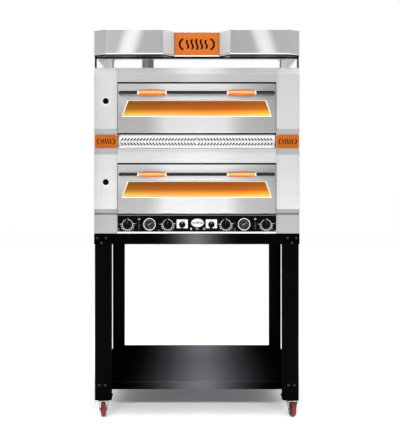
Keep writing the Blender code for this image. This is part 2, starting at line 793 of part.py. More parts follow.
def make_flues(steel):
    low = OVEN_TOP + GAP
    plate = box((-0.325, back(0.605), low), (-0.205, back(0.842), low + SHEET))

    def tubes(bm):
        for x, y in FLUES:
            add_rod(bm, FLUE_RADIUS, (x, back(y), OVEN_TOP - 0.060), (x, back(y), COLLAR_TOP - 0.005), FINE)

    def bores(bm):
        inner = FLUE_RADIUS - 0.0015
        for x, y in FLUES:
            add_rod(bm, inner, (x, back(y), OVEN_TOP - 0.080), (x, back(y), COLLAR_TOP + 0.01), FINE)

    solid("flue_manifold", steel, plate, [tubes], [bores])


def make_gland(black):
    start = (0.380, back(DEPTH + GAP), 0.900)
    profile = [(0.010, -0.020), (0.010, 0), (0.0155, 0), (0.0155, 0.007), (0.0125, 0.008), (0.0125, 0.018)]
    profile += [(0.0100, GLAND_REACH - GAP), (0.0065, GLAND_REACH - GAP), (0.0065, -0.020)]
    solid("cable_gland", black, lambda bm: add_turned(bm, profile, start, (0, 1, 0), COARSE, ring=True))


def build():
    clear_scene()
    steel = material("Brushed steel", (0.62, 0.62, 0.62), 0.30, 1.0)
    orange = material("Orange lacquered plate", (0.78, 0.22, 0.02), 0.35, 0.6)
    black_gloss = material("Black gloss paint", (0.012, 0.012, 0.013), 0.25, 0.0)
    black = material("Black plastic", (0.020, 0.020, 0.022), 0.40, 0.0)
    dark = material("Blackened steel", (0.030, 0.030, 0.032), 0.35, 0.6)
    zinc = material("Zinc plated steel", (0.60, 0.61, 0.63), 0.30, 1.0)
    red = material("Red rubber", (0.45, 0.03, 0.02), 0.55, 0.0)
    wood = material("Varnished beech", (0.72, 0.26, 0.06), 0.35, 0.0)
    stone = material("Refractory stone", (0.72, 0.66, 0.55), 0.85, 0.0)
    glass = material("Tinted glass", (0.55, 0.25, 0.04), 0.10, 0.0)
    lining = material("Aluminised lining", (0.55, 0.54, 0.52), 0.45, 1.0)
    sheath = material("Heater sheath", (0.16, 0.15, 0.15), 0.45, 0.8)
    dial = material("Dial case", (0.70, 0.70, 0.71), 0.25, 1.0)

    make_stand(black_gloss)
    for word, side in SIDES.items():
        for end_word, end in (("front", -1), ("rear", 1)):
            make_caster(f"{end_word}_{word}", side, end, zinc, red)
    make_panels(steel)
    make_badges(orange)
    for word, hinge in DECKS.items():
        make_deck(word, hinge, lining, stone, sheath)
        make_door(word, hinge, steel, glass, dark, wood)
        make_vent_pull(word, hinge, dark)
    make_controls(steel, black, dial)
    make_hood(steel, dark)
    make_flues(zinc)
    make_gland(black)


build()
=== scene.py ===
"""Looks of the double-deck pizza oven: materials, fine pieces, floor, light and camera.

Lengths are in metres, in the frame's axes: +Z up, the doors face -Y. A depth is a distance
behind the doors' front plane.
"""

import json
import math

import bmesh
import bpy
from mathutils import Matrix, Vector


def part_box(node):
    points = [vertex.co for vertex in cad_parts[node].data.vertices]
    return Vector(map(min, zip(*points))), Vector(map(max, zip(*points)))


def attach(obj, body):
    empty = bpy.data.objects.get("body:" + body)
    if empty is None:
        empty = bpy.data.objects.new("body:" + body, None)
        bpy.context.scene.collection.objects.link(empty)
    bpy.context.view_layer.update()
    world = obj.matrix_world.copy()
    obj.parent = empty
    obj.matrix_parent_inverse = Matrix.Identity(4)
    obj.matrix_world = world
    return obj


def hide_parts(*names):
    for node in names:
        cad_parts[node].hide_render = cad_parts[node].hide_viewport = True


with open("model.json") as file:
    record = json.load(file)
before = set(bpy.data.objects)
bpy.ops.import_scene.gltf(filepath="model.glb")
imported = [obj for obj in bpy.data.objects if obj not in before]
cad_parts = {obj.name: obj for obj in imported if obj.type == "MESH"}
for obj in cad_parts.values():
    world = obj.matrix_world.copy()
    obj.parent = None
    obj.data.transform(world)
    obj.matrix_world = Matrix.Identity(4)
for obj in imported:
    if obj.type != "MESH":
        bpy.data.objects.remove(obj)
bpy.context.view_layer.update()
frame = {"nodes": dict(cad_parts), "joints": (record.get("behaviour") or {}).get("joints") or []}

# Driving places, read from the frame.

PIVOTS = {joint["name"]: Vector(joint["pos_m"]) for joint in frame["joints"] if joint["type"] == "hinge"}
HINGE = {deck: PIVOTS[f"door_{deck}_hinge"] for deck in ("lower", "upper")}
SIDES = {"left": -1, "right": 1}
ENDS = ("front", "rear")
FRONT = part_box("fascia_lower")[0].y
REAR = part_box("chassis")[1].y
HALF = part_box("side_panel_right")[1].x
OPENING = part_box("fascia_lower")[1].x
PANEL_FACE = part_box("control_panel")[0].y
OVEN_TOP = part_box("top_cover")[1].z
# Foot, head and brightness of the painted shade on the ledges of the pillars' fronts.
LEDGES = ((0.8310, 0.9155, 0.81), (0.9165, 0.9415, 0.66), (1.1885, 1.2145, 0.86), (1.2795, 1.3055, 0.66))
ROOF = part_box("hood_badge")[1].z + 0.002
GAP = 0.0003
# Print and thin plates stand this far off the surface that carries them.
FILM = 0.0002


def back(depth):
    """World Y of a point this far behind the doors' front plane."""
    return FRONT + depth


# Materials.


def shade(level):
    """Linear value of a brightness given from 0, black, to 1, white, as the eye sees it."""
    return ((level + 0.055) / 1.055) ** 2.4 if level > 0.04 else level / 12.92


def grey(level, warm=0.0):
    value = shade(level)
    return (value * (1 + warm), value, value * (1 - warm))


def ramp(tree, factor, stops, interpolation="LINEAR"):
    node = tree.nodes.new("ShaderNodeValToRGB")
    tree.links.new(factor, node.inputs["Fac"])
    elements = node.color_ramp.elements
    node.color_ramp.interpolation = interpolation
    while len(elements) < len(stops):
        elements.new(1.0)
    for element, (position, colour) in zip(elements, stops):
        element.position = position
        element.color = (*colour, 1) if hasattr(colour, "__len__") else (colour, colour, colour, 1)
    return node.outputs["Color"]


def place_of(tree):
    """The three object coordinates, which are the frame's own at rest."""
    coordinates = tree.nodes.new("ShaderNodeTexCoord")
    split = tree.nodes.new("ShaderNodeSeparateXYZ")
    tree.links.new(coordinates.outputs["Object"], split.inputs["Vector"])
    return split.outputs


def rescale(tree, value, low, high):
    node = tree.nodes.new("ShaderNodeMapRange")
    node.inputs["From Min"].default_value = low
    node.inputs["From Max"].default_value = high
    tree.links.new(value, node.inputs["Value"])
    return node.outputs["Result"]


def compute(tree, operation, first, second, third=None):
    """A Math node; each argument is a number or another node's output."""
    node = tree.nodes.new("ShaderNodeMath")
    node.operation = operation
    for socket, value in zip(node.inputs, (first, second, third)):
        if isinstance(value, (int, float)):
            socket.default_value = value
        elif value is not None:
            tree.links.new(value, socket)
    return node.outputs["Value"]


def mix(tree, factor, first, second, blend="MIX"):
    """Mixes two colours; each argument is a value or another node's output."""
    node = tree.nodes.new("ShaderNodeMix")
    node.data_type = "RGBA"
    node.blend_type = blend
    for socket, value in ((node.inputs[0], factor), (node.inputs[6], first), (node.inputs[7], second)):
        if isinstance(value, (int, float)):
            socket.default_value = value
        elif isinstance(value, tuple):
            socket.default_value = (*value, 1)
        else:
            tree.links.new(value, socket)
    return node.outputs[2]


def noise(tree, scale, detail=4.0, distortion=0.0):
    """Noise in object coordinates, stretched by a scale for each axis."""
    place = tree.nodes.new("ShaderNodeTexCoord")
    mapping = tree.nodes.new("ShaderNodeMapping")
    mapping.inputs["Scale"].default_value = scale
    made = tree.nodes.new("ShaderNodeTexNoise")
    made.inputs["Scale"].default_value = 1.0
    made.inputs["Detail"].default_value = detail
    made.inputs["Distortion"].default_value = distortion
    tree.links.new(place.outputs["Object"], mapping.inputs["Vector"])
    tree.links.new(mapping.outputs["Vector"], made.inputs["Vector"])
    return made.outputs["Fac"]


def finish(name, dark, light, grain, rough, metallic=0.0, bump=0.1, depth=0.0003, tone=None, metal=None,
           **sockets):
    """A surface whose colour and roughness follow a fine grain and a broad, faint cloudiness.

    tone paints light and shade across the surface, such as a broad sheen, which the grain's colour is
    multiplied by;
    metal makes a mask for a metal that is bright in one place and milky in another.
    """
    made = bpy.data.materials.new(name)
    made.use_nodes = True
    tree = made.node_tree
    shader = tree.nodes["Principled BSDF"]
    shader.inputs["Metallic"].default_value = metallic
    for socket, value in sockets.items():
        shader.inputs[socket.replace("_", " ")].default_value = value
    fine = noise(tree, grain, 5.0)
    broad = noise(tree, (2.5, 2.5, 2.5), 3.0)
    blend = tree.nodes.new("ShaderNodeMix")
    blend.inputs["Factor"].default_value = 0.4
    tree.links.new(fine, blend.inputs["A"])
    tree.links.new(broad, blend.inputs["B"])
    mixed = blend.outputs["Result"]
    colour = ramp(tree, mixed, [(0.32, dark), (0.68, light)])
    if tone:
        colour = mix(tree, 1.0, colour, tone(tree), "MULTIPLY")
    tree.links.new(colour, shader.inputs["Base Color"])
    if metal:
        tree.links.new(metal(tree), shader.inputs["Metallic"])
    tree.links.new(ramp(tree, mixed, [(0.3, rough[0]), (0.7, rough[1])]), shader.inputs["Roughness"])
    relief = tree.nodes.new("ShaderNodeBump")
    relief.inputs["Strength"].default_value = bump
    relief.inputs["Distance"].default_value = depth
    tree.links.new(fine, relief.inputs["Height"])
    tree.links.new(relief.outputs["Normal"], shader.inputs["Normal"])
    return made


def steel(name, grain=(5, 5, 900), rough=(0.24, 0.34), tone=None, bump=0.05, metal=None):
    """Brushed stainless steel; its tone paints the sheen, the soft gradient that a studio's light would leave
    on flat sheet.
    """
    return finish(name, grey(0.965), grey(1.0), grain, rough, 1.0, bump, tone=tone, metal=metal)


def across(*stops, over=None):
    """A painted sheen along X, as (x, brightness) from the left to the right; over is a second one on top of
    it.
    """
    def tone(tree):
        x = rescale(tree, place_of(tree)["X"], -HALF, HALF)
        sheen = ramp(tree, x, [((at + HALF) / (2 * HALF), shade(level)) for at, level in stops], "B_SPLINE")
        return mix(tree, 1.0, sheen, over(tree), "MULTIPLY") if over else sheen
    return tone


def bands(tree, low, high, soft, levels):
    """Brightness up the Z axis: 1, but for bands given as (foot, head, level)."""
    stops = [(low, 1.0)]
    for foot, head, level in levels:
        stops += [(foot - soft, 1.0), (foot, level), (head, level), (head + soft, 1.0)]
    places = [((at - low) / (high - low), level) for at, level in stops]
    return ramp(tree, rescale(tree, place_of(tree)["Z"], low, high), places)


def ledges(tree):
    """The pillars' sloping ledges face the sky; a painted shade makes them dimmer than the sheet between
    them.
    """
    return bands(tree, 0.82, 1.35, 0.0003, [(foot, head, shade(level)) for foot, head, level in LEDGES])


# Painted sheen across the doors over and under their windows, as (x, brightness).
ABOVE_WINDOW = (
    (-0.34, 0.77), (-0.24, 0.79), (-0.20, 0.81), (-0.13, 0.925),
    (0.12, 0.925), (0.19, 0.82), (0.25, 0.77), (0.34, 0.62))
BELOW_WINDOW = (
    (-0.34, 0.69), (-0.24, 0.70), (-0.20, 0.73), (-0.14, 0.90),
    (0.13, 0.90), (0.18, 0.76), (0.23, 0.705), (0.34, 0.67))


def door_tone(hinge):
    """The door's painted sheen: a broad bright middle, its edges darker below the window than above it."""
    def tone(tree):
        rise = rescale(tree, place_of(tree)["Z"], hinge.z + 0.065, hinge.z + 0.150)
        return mix(tree, rise, across(*BELOW_WINDOW)(tree), across(*ABOVE_WINDOW)(tree))
    return tone


def rim_tone(tree):
    """The window rims get a painted shade along their heads."""
    heads = sorted(hinge.z + 0.1385 for hinge in HINGE.values())
    return bands(tree, 0.90, 1.50, 0.001, [(head, head + 0.006, 0.55) for head in heads])


def from_middle(tree, stops):
    """A ramp of the distance from the plane x = 0, given in metres."""
    out = compute(tree, "ABSOLUTE", place_of(tree)["X"], 0.0)
    return ramp(tree, rescale(tree, out, 0, HALF), [(at / HALF, value) for at, value in stops])


# The hood's side walls: their inner faces lie between these distances from the middle.
WALL_INSIDE = (0.4620, 0.4641)
WALL_EDGES = (0.4610, 0.4647)


def hood_tone(tree):
    """Painted skirt sheen: mid-grey facets, each with one painted leaning highlight; corners and inner facets
    painted paler, and the insides of the side walls near white.
    """
    places = place_of(tree)
    inner = (shade(0.82), shade(0.84), shade(0.85))
    plain = from_middle(tree, [
        (0.0, inner), (0.149, inner), (0.151, grey(0.70)), (0.405, grey(0.73)), (0.407, grey(0.795)),
        (WALL_EDGES[0], grey(0.80)), (WALL_INSIDE[0], grey(1.0)), (WALL_INSIDE[1], grey(1.0)),
        (WALL_EDGES[1], grey(0.80))])
    slope = 0.33
    out = compute(tree, "ABSOLUTE", places["X"], 0.0)
    lean = compute(tree, "MULTIPLY_ADD", places["Z"], -slope, 0.286 + slope * 1.726)
    away = compute(tree, "ABSOLUTE", compute(tree, "SUBTRACT", out, lean), 0.0)
    painted_highlight = ramp(tree, rescale(tree, away, 0.0, 0.058), [(0.0, 1.0), (0.25, 0.9), (1.0, 0.0)], "EASE")
    return mix(tree, on_roof(tree), mix(tree, painted_highlight, plain, grey(0.955)), grey(0.84))


def on_roof(tree):
    """1 on the hood's flat roof, 0 on its skirt."""
    return rescale(tree, place_of(tree)["Z"], ROOF - 0.0035, ROOF - 0.0025)


def hood_metal(tree):
    """The hood is less bright on its inner facets beside the plate and along the inside of its walls."""
    skirt = from_middle(tree, [
        (0.0, 0.25), (0.1495, 0.25), (0.1505, 1.0), (WALL_EDGES[0], 1.0), (WALL_INSIDE[0], 0.2),
        (WALL_INSIDE[1], 0.2), (WALL_EDGES[1], 1.0)])
    return mix(tree, on_roof(tree), skirt, (1.0, 1.0, 1.0))


def frame_tone(tree):
    """The hood's front posts and front rail are black; the frame behind them is painted near white."""
    depth = rescale(tree, place_of(tree)["Y"], back(0.045), back(0.046))
    return ramp(tree, depth, [(0.0, grey(0.05)), (1.0, grey(0.99))])


def side_tone(tree):
    """The side panels' painted sheen, from the doors to the rear."""
    depth = rescale(tree, place_of(tree)["Y"], FRONT, REAR)
    stops = [(0.0, 0.70), (0.2, 0.73), (0.45, 0.84), (0.6, 0.82), (0.8, 0.72), (1.0, 0.67)]
    return ramp(tree, depth, [(at, shade(level)) for at, level in stops], "B_SPLINE")


# Foot of the body's top chamfer.
CHAMFER = 1.5520


def low_down(tree):
    """Bright metal up to the chamfer under the hood, milky on the chamfer and above it."""
    rise = rescale(tree, place_of(tree)["Z"], CHAMFER, CHAMFER + 0.0010)
    return ramp(tree, rise, [(0.0, 1.0), (1.0, 0.15)])


# A bell curve, as (share of its reach, share of its height).
BELL = ((0.0, 1.0), (0.12, 0.90), (0.25, 0.64), (0.45, 0.29), (0.65, 0.088), (0.82, 0.022), (1.0, 0.003))


def bell(centre, reach, level, tint=(1.0, 1.0, 1.06)):
    """A soft painted sheen on black paint, brightest at x = centre and gone at centre +- reach."""
    def tone(tree):
        away = compute(tree, "ABSOLUTE", compute(tree, "SUBTRACT", place_of(tree)["X"], centre), 0.0)
        peak = tuple(shade(level) * part for part in tint)
        stops = [(at, tuple(part * share for part in peak)) for at, share in BELL]
        return ramp(tree, rescale(tree, away, 0.0, reach), stops)
    return tone


def shelf_tone(tree):
    """The shelf's painted sheen: one bell across its top, a slightly narrower one on its front lip."""
    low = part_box("stand_shelf")[0]
    deep = rescale(tree, place_of(tree)["Y"], low.y + 0.0004, low.y + 0.0012)
    tint = (0.97, 0.98, 1.12)
    return mix(tree, deep, bell(0.015, 0.34, 0.42, tint)(tree), bell(0.027, 0.37, 0.475, tint)(tree))


def even(value):
    return (value, value, value)


def coat(name, dark, light, grain, rough, bump, specular=0.5, **more):
    """A surface that isn't metal, with the same grain along each axis."""
    return finish(name, dark, light, even(grain), rough, 0.0, bump, Specular_IOR_Level=specular, **more)


def black_paint(name, tone):
    """Gloss paint with its faint reflections painted in as a sheen."""
    return coat(name, grey(0.94), grey(1.0), 90, (0.28, 0.38), 0.05, 0.015, tone=tone)


UPRIGHT = (900, 900, 5)
LEVEL = (5, 5, 700)
PRINT_ROUGH = (0.45, 0.60)
# The tones below paint sheens on the steels: brighter and dimmer bands across each sheet that stand for the
# studio's reflections.
PILLAR_STEEL = steel("pillar_steel", UPRIGHT, (0.26, 0.36), across(
    (-0.465, 0.80), (-0.44, 0.83), (-0.375, 0.88), (-0.355, 0.78), (0.355, 0.78), (0.375, 0.86), (0.46, 0.84),
    over=ledges), metal=low_down)
FASCIA_STEEL = steel("fascia_steel", tone=across(
    (-0.36, 0.85), (-0.25, 0.86), (-0.15, 0.885), (-0.05, 0.94), (0.07, 0.94), (0.17, 0.88), (0.36, 0.84)),
    metal=low_down)
TOP_STEEL = steel("top_cover_steel", tone=across(
    (-0.46, 0.78), (-0.20, 0.78), (-0.10, 0.79), (-0.03, 0.86),
    (0.03, 0.86), (0.10, 0.80), (0.20, 0.79), (0.46, 0.77)), metal=low_down)
BAND_STEEL = steel("band_steel", tone=across((-0.36, 0.83), (0.0, 0.87), (0.36, 0.83)))
HOOD_STEEL = steel("hood_steel", LEVEL, (0.26, 0.36), hood_tone, metal=hood_metal)
SIDE_STEEL = steel("side_steel", UPRIGHT, (0.28, 0.42), side_tone)
REAR_STEEL = steel("rear_steel", UPRIGHT, (0.28, 0.42), across(
    (-0.46, 0.68), (-0.20, 0.74), (0.0, 0.84), (0.20, 0.76), (0.46, 0.68)))
TRIM_STEEL = steel("trim_steel", LEVEL, (0.18, 0.28), across((-0.46, 0.99), (0.46, 0.98)))
# Dim steel, its darkness a painted shade, for strips that lie in shaded gaps.
STRIP_STEEL = steel("strip_steel", LEVEL, (0.3, 0.4), across((-0.36, 0.68), (0.0, 0.58), (0.36, 0.64)))
BRIGHT = finish("polished_steel", grey(0.93), grey(0.97), (40, 40, 300), (0.12, 0.20), 1.0, 0.03)
INNER_STEEL = finish("inner_steel", grey(0.62), grey(0.74), (6, 6, 500), (0.3, 0.45), 1.0, 0.06)
LINING = finish("aluminised_lining", (0.30, 0.27, 0.23), (0.50, 0.45, 0.39), even(30), (0.38, 0.55), 1.0, 0.1)
ZINC = finish("zinc_plate", grey(0.56, 0.01), grey(0.76, 0.02), even(60), (0.24, 0.42), 1.0, 0.08)
FLUE = finish("flue_steel", grey(0.84), grey(0.92), (400, 400, 6), (0.26, 0.40), 0.35, 0.06)
ORANGE = finish("orange_lacquer", (0.50, 0.105, 0.011), (0.68, 0.180, 0.023), (6, 6, 1100), (0.30, 0.42),
                0.2, 0.06, Specular_IOR_Level=0.2)
SIDE_ORANGE = finish("side_orange_lacquer", (0.30, 0.068, 0.005), (0.60, 0.145, 0.013), (6, 6, 1100),
                     (0.3, 0.42), 0.2, 0.06, Specular_IOR_Level=0.15)
RIM = finish("window_rim", (0.96, 0.88, 0.72), (1.0, 0.96, 0.86), (10, 10, 600), (0.20, 0.30), 0.3, 0.04,
             tone=rim_tone)
COLLAR = finish("grip_collar", (0.86, 0.72, 0.62), (0.98, 0.88, 0.80), (300, 20, 20), (0.18, 0.28), 0.85,
                0.04)
RIVET = finish("copper_rivet", (0.10, 0.030, 0.015), (0.22, 0.060, 0.030), even(400), (0.3, 0.4), 0.6, 0.04)
SHEATH = finish("heater_sheath", (0.060, 0.052, 0.048), (0.130, 0.110, 0.100), even(200), (0.4, 0.6), 0.7,
                0.2)

# The vent backing is dark, with a painted sheen brighter in the middle.
BACKING = coat("vent_backing", grey(0.94), grey(1.0), 90, (0.5, 0.7), 0.05, 0.02, tone=across(
    (-0.36, 0.03), (-0.24, 0.05), (-0.13, 0.16), (0.0, 0.28), (0.13, 0.16), (0.24, 0.05), (0.36, 0.03)))
PAINT = coat("black_gloss_paint", (0.0006, 0.0006, 0.0007), (0.0014, 0.0014, 0.0016), 90, (0.28, 0.38),
             0.05, 0.015)
# The beam and the fold get a painted sheen across their black paint.
BEAM = black_paint("black_beam_paint", bell(-0.002, 0.195, 0.395))
FOLD = black_paint("fold_paint", bell(0.015, 0.40, 0.50, (0.98, 0.99, 1.08)))
# The shelf gets a painted sheen on its top and its front lip.
SHELF = coat("black_shelf_paint", grey(0.94), grey(1.0), 90, (0.30, 0.40), 0.05, 0.0, tone=shelf_tone)
HOOD_FRAME = coat("hood_frame_steel", grey(0.94), grey(1.0), 80, (0.35, 0.50), 0.08, 0.05, tone=frame_tone)
DARK = coat("satin_black_steel", even(0.004), even(0.012), 80, (0.25, 0.40), 0.08, 0.25)
PANEL = coat("panel_black", even(0.0010), (0.0020, 0.0020, 0.0022), 120, (0.30, 0.40), 0.03, 0.03)
KNOB = coat("knob_black", even(0.0012), (0.0045, 0.0045, 0.0048), 150, (0.24, 0.36), 0.08, 0.04)
GRAPHITE = coat("bolt_black", (0.006, 0.006, 0.007), (0.018, 0.018, 0.020), 150, (0.25, 0.35), 0.08, 0.35)
PRINT = coat("white_print", grey(0.76), grey(0.86), 200, PRINT_ROUGH, 0.02)
FAINT_PRINT = coat("grey_print", grey(0.44), grey(0.54), 200, PRINT_ROUGH, 0.02)
PALE_PRINT = coat("pale_print", grey(0.80), grey(0.86), 200, PRINT_ROUGH, 0.02)
ROSETTE = coat("rosette_grey", grey(0.86), grey(0.90), 200, PRINT_ROUGH, 0.02)
WHITE = coat("white_plate", grey(0.90), grey(0.95), 80, (0.25, 0.38), 0.03)
MARK = coat("dark_mark", (0.012, 0.003, 0.001), (0.030, 0.008, 0.002), 80, PRINT_ROUGH, 0.03, 0.02)
PANE = coat("clear_glass", grey(0.90), grey(0.94), 20, (0.02, 0.05), 0.01, 0.2, Transmission_Weight=1.0,
            IOR=1.30)
TYRE = coat("red_tyre", (0.150, 0.012, 0.018), (0.270, 0.030, 0.036), 180, (0.45, 0.62), 0.25, 0.3)
CORE = coat("wheel_core", (0.020, 0.018, 0.018), (0.060, 0.054, 0.052), 120, (0.40, 0.55), 0.15)
STONE = coat("baking_stone", (0.46, 0.37, 0.25), (0.70, 0.60, 0.45), 140, (0.75, 0.95), 0.6, depth=0.001)
# Near black for the seals and the strips in the door slits, and for a block that stands for a shadow.
SEAL_AND_SHADE = coat("seal_and_shade_black", even(0.002), (0.008, 0.007, 0.007), 260, (0.75, 0.95), 0.5, 0.1)
LENS = coat("lamp_lens", grey(0.55), grey(0.72), 90, (0.10, 0.20), 0.02)
DIM_LENS = coat("lamp_lens_dark", grey(0.17), grey(0.26), 90, (0.12, 0.2), 0.02)

# Lacquer round a barrel grip, from its foot to its head, with the barrel's shading painted in: two dark red
# bands of painted shade and a pale painted highlight in the middle.
LACQUER_AND_SHADE_STOPS = [
    (0.0, (0.70, 0.24, 0.045)), (0.14, (0.50, 0.13, 0.020)), (0.30, (0.58, 0.20, 0.060)),
    (0.44, (1.0, 0.38, 0.105)), (0.60, (1.0, 0.56, 0.24)), (0.72, (0.86, 0.29, 0.065)),
    (0.84, (0.34, 0.055, 0.006)), (0.93, (0.55, 0.13, 0.015)), (1.0, (1.0, 0.60, 0.34))]


def lacquered_wood(deck):
    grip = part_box(f"door_{deck}_grip_left")

    def tone(tree):
        # The lacquer's colour with the barrel's painted shading, from the grip's foot to its head.
        return ramp(tree, rescale(tree, place_of(tree)["Z"], grip[0].z, grip[1].z), LACQUER_AND_SHADE_STOPS)

    return finish(f"lacquered_wood_{deck}", (0.88, 0.86, 0.82), (1.0, 1.0, 1.0), (14, 260, 260), (0.20, 0.32),
                  0.0, 0.15, tone=tone, Specular_IOR_Level=0.3, Coat_Weight=0.25, Coat_Roughness=0.05)


# Mirror-coated oven glass with the lit chamber behind it painted on: a painted glow bright at its foot and
# darker towards its head, and a faint change from left to right.
GLASS_GLOW_STOPS = [
    (0.00, (0.86, 0.56, 0.20)), (0.10, (0.90, 0.42, 0.08)), (0.26, (0.72, 0.250, 0.035)),
    (0.46, (0.42, 0.100, 0.008)), (0.75, (0.30, 0.070, 0.005)), (0.94, (0.24, 0.066, 0.006)),
    (1.00, (0.10, 0.042, 0.006))]
GLASS_GLOW_HUES = [(0.0, (0.72, 1.15, 0.70)), (0.25, (0.92, 0.98, 1.0)), (0.70, (1.06, 1.02, 0.95)),
              (1.0, (1.20, 1.35, 0.8))]
GLASS_LAP = 0.012


def amber_glass_painted_glow(deck):
    low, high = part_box(f"door_{deck}_glass")

    def tone(tree):
        places = place_of(tree)
        rise = rescale(tree, places["Z"], low.z + GLASS_LAP, high.z - GLASS_LAP)
        wander = compute(tree, "MULTIPLY_ADD", noise(tree, (2.2, 1, 9), 2.0, 0.3), 0.16, -0.08)
        # The painted glow of the lit chamber seen through the glass.
        colour = ramp(tree, compute(tree, "ADD", rise, wander), GLASS_GLOW_STOPS)
        tint = ramp(tree, rescale(tree, places["X"], -high.x, high.x), GLASS_GLOW_HUES)
        return mix(tree, 1.0, colour, tint, "MULTIPLY")

    return finish(f"amber_glass_painted_glow_{deck}", grey(0.97), grey(1.0), (6, 6, 30), (0.10, 0.20), 0.0, 0.01,
                  tone=tone, Specular_IOR_Level=0.12)


# Mesh code.


def corners(bm, rows):
    """Vertices at rows of points."""
    return [[bm.verts.new(point) for point in row] for row in rows]


def skin(bm, rings, closed=False):
    """Joins rings of vertices with quads; a ring of one vertex is a tip."""
    pairs = list(zip(rings, rings[1:])) + ([(rings[-1], rings[0])] if closed else [])
    for near, far in pairs:
        for k in range(max(len(near), len(far))):
            n = k + 1
            quad = [near[k % len(near)], near[n % len(near)], far[n % len(far)], far[k % len(far)]]
            bm.faces.new(list(dict.fromkeys(quad)))


def cap(bm, rings):
    """Closes the first and the last ring, unless it is a tip."""
    for ring in (rings[0], rings[-1]):
        if len(ring) > 1:
            bm.faces.new(ring)


def turned(bm, profile, centre, direction, segments=48):
    """A profile of (radius, distance) turned about an axis; a radius of 0 closes an end in a point."""
    turn = Vector(direction).to_track_quat("Z", "X").to_matrix().to_4x4()
    place = Matrix.Translation(Vector(centre)) @ turn
    rows = []
    for radius, distance in profile:
        angles = [2 * math.pi * k / segments for k in range(segments if radius else 1)]
        rows.append([place @ Vector((radius * math.cos(a), radius * math.sin(a), distance)) for a in angles])
    rings = corners(bm, rows)
    skin(bm, rings)
    if profile[0] != profile[-1]:
        cap(bm, rings)


PLANES = {"X": (1, 2, 0), "Y": (0, 2, 1), "Z": (0, 1, 2)}


def prism(bm, outline, axis, low, high):
    """A closed outline across an axis, extruded along it."""
    first, second, along = PLANES[axis]
    rows = []
    for height in (low, high):
        row = []
        for point in outline:
            place = [0.0, 0.0, 0.0]
            place[first], place[second], place[along] = point[0], point[1], height
            row.append(place)
        rows.append(row)
    rings = corners(bm, rows)
    cap(bm, rings)
    skin(bm, rings)


def rectangle(x0, x1, z0, z1):
    return [(x0, z0), (x1, z0), (x1, z1), (x0, z1)]


def slab(bm, low, high):
    prism(bm, rectangle(low[0], high[0], low[1], high[1]), "Z", low[2], high[2])


def arc(centre, radius, start, end, steps=8):
    angles = [math.radians(start + (end - start) * k / steps) for k in range(steps + 1)]
    return [(centre[0] + radius * math.cos(a), centre[1] + radius * math.sin(a)) for a in angles]


def circle(centre, radius, steps):
    return arc(centre, radius, 0, 360, steps)[:-1]


def rounded(x0, x1, z0, z1, radius, steps=5):
    """A rectangle with round corners."""
    corners = ((x1, z1, 0), (x0, z1, 90), (x0, z0, 180), (x1, z0, 270))
    points = []
    for x, z, start in corners:
        across_x = x - math.copysign(radius, x - (x0 + x1) / 2)
        across_z = z - math.copysign(radius, z - (z0 + z1) / 2)
        points += arc((across_x, across_z), radius, start, start + 90, steps)
    return points


def tube(bm, path, radius, segments=16, closed=False):
    """A round tube along a path of points, its rings kept square to the path."""
    points = [Vector(p) for p in path]
    count = len(points)
    rows = []
    side = None
    for i, point in enumerate(points):
        ahead = points[(i + 1) % count] if closed or i < count - 1 else point
        behind = points[i - 1] if closed or i > 0 else point
        along = (ahead - behind).normalized()
        if side is None:
            side = along.orthogonal().normalized()
        side = (side - along * side.dot(along)).normalized()
        other = along.cross(side)
        angles = [2 * math.pi * k / segments for k in range(segments)]
        rows.append([point + radius * (side * math.cos(a) + other * math.sin(a)) for a in angles])
    rings = corners(bm, rows)
    if not closed:
        cap(bm, rings)
    skin(bm, rings, closed)


def bevel(obj, width, segments=2):
    modifier = obj.modifiers.new("Edge", "BEVEL")
    modifier.width = width
    modifier.segments = segments
    modifier.limit_method = "ANGLE"
    modifier.angle_limit = math.radians(35)
    modifier.harden_normals = True


def piece(name, bm, look, body, edge=0.0, stands_for=()):
    """Turns a bmesh into a piece of the object that rides on a body."""
    bmesh.ops.remove_doubles(bm, verts=bm.verts, dist=1e-6)
    bmesh.ops.recalc_face_normals(bm, faces=bm.faces)
    mesh = bpy.data.meshes.new(name)
    bm.to_mesh(mesh)
    bm.free()
    mesh.materials.append(look)
    mesh.shade_smooth()
    mesh.set_sharp_from_angle(angle=math.radians(32))
    obj = bpy.data.objects.new(name, mesh)
    bpy.context.collection.objects.link(obj)
    if edge:
        bevel(obj, edge)
    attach(obj, body)
    if stands_for:
        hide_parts(*stands_for)
    return obj


def lathe(name, profile, centre, direction, look, body, segments=48, stands_for=()):
    """A piece turned about one axis."""
    bm = bmesh.new()
    turned(bm, profile, centre, direction, segments)
    return piece(name, bm, look, body, 0, stands_for)


def block(name, low, high, look, body, edge=0.0):
    """A rectangular piece."""
    bm = bmesh.new()
    slab(bm, low, high)
    return piece(name, bm, look, body, edge)


def plate(name, outline, axis, low, high, look, body, edge=0.0):
    """A piece with one outline, extruded along an axis."""
    bm = bmesh.new()
    prism(bm, outline, axis, low, high)
    return piece(name, bm, look, body, edge)


def bolts(name, places, direction, radius, tall, look, body, washer=1.45):
    """Bolts or screws that face one way, as one piece."""
    bm = bmesh.new()
    for place in places:
        bolt(bm, place, direction, radius, tall, washer)
    return piece(name, bm, look, body)


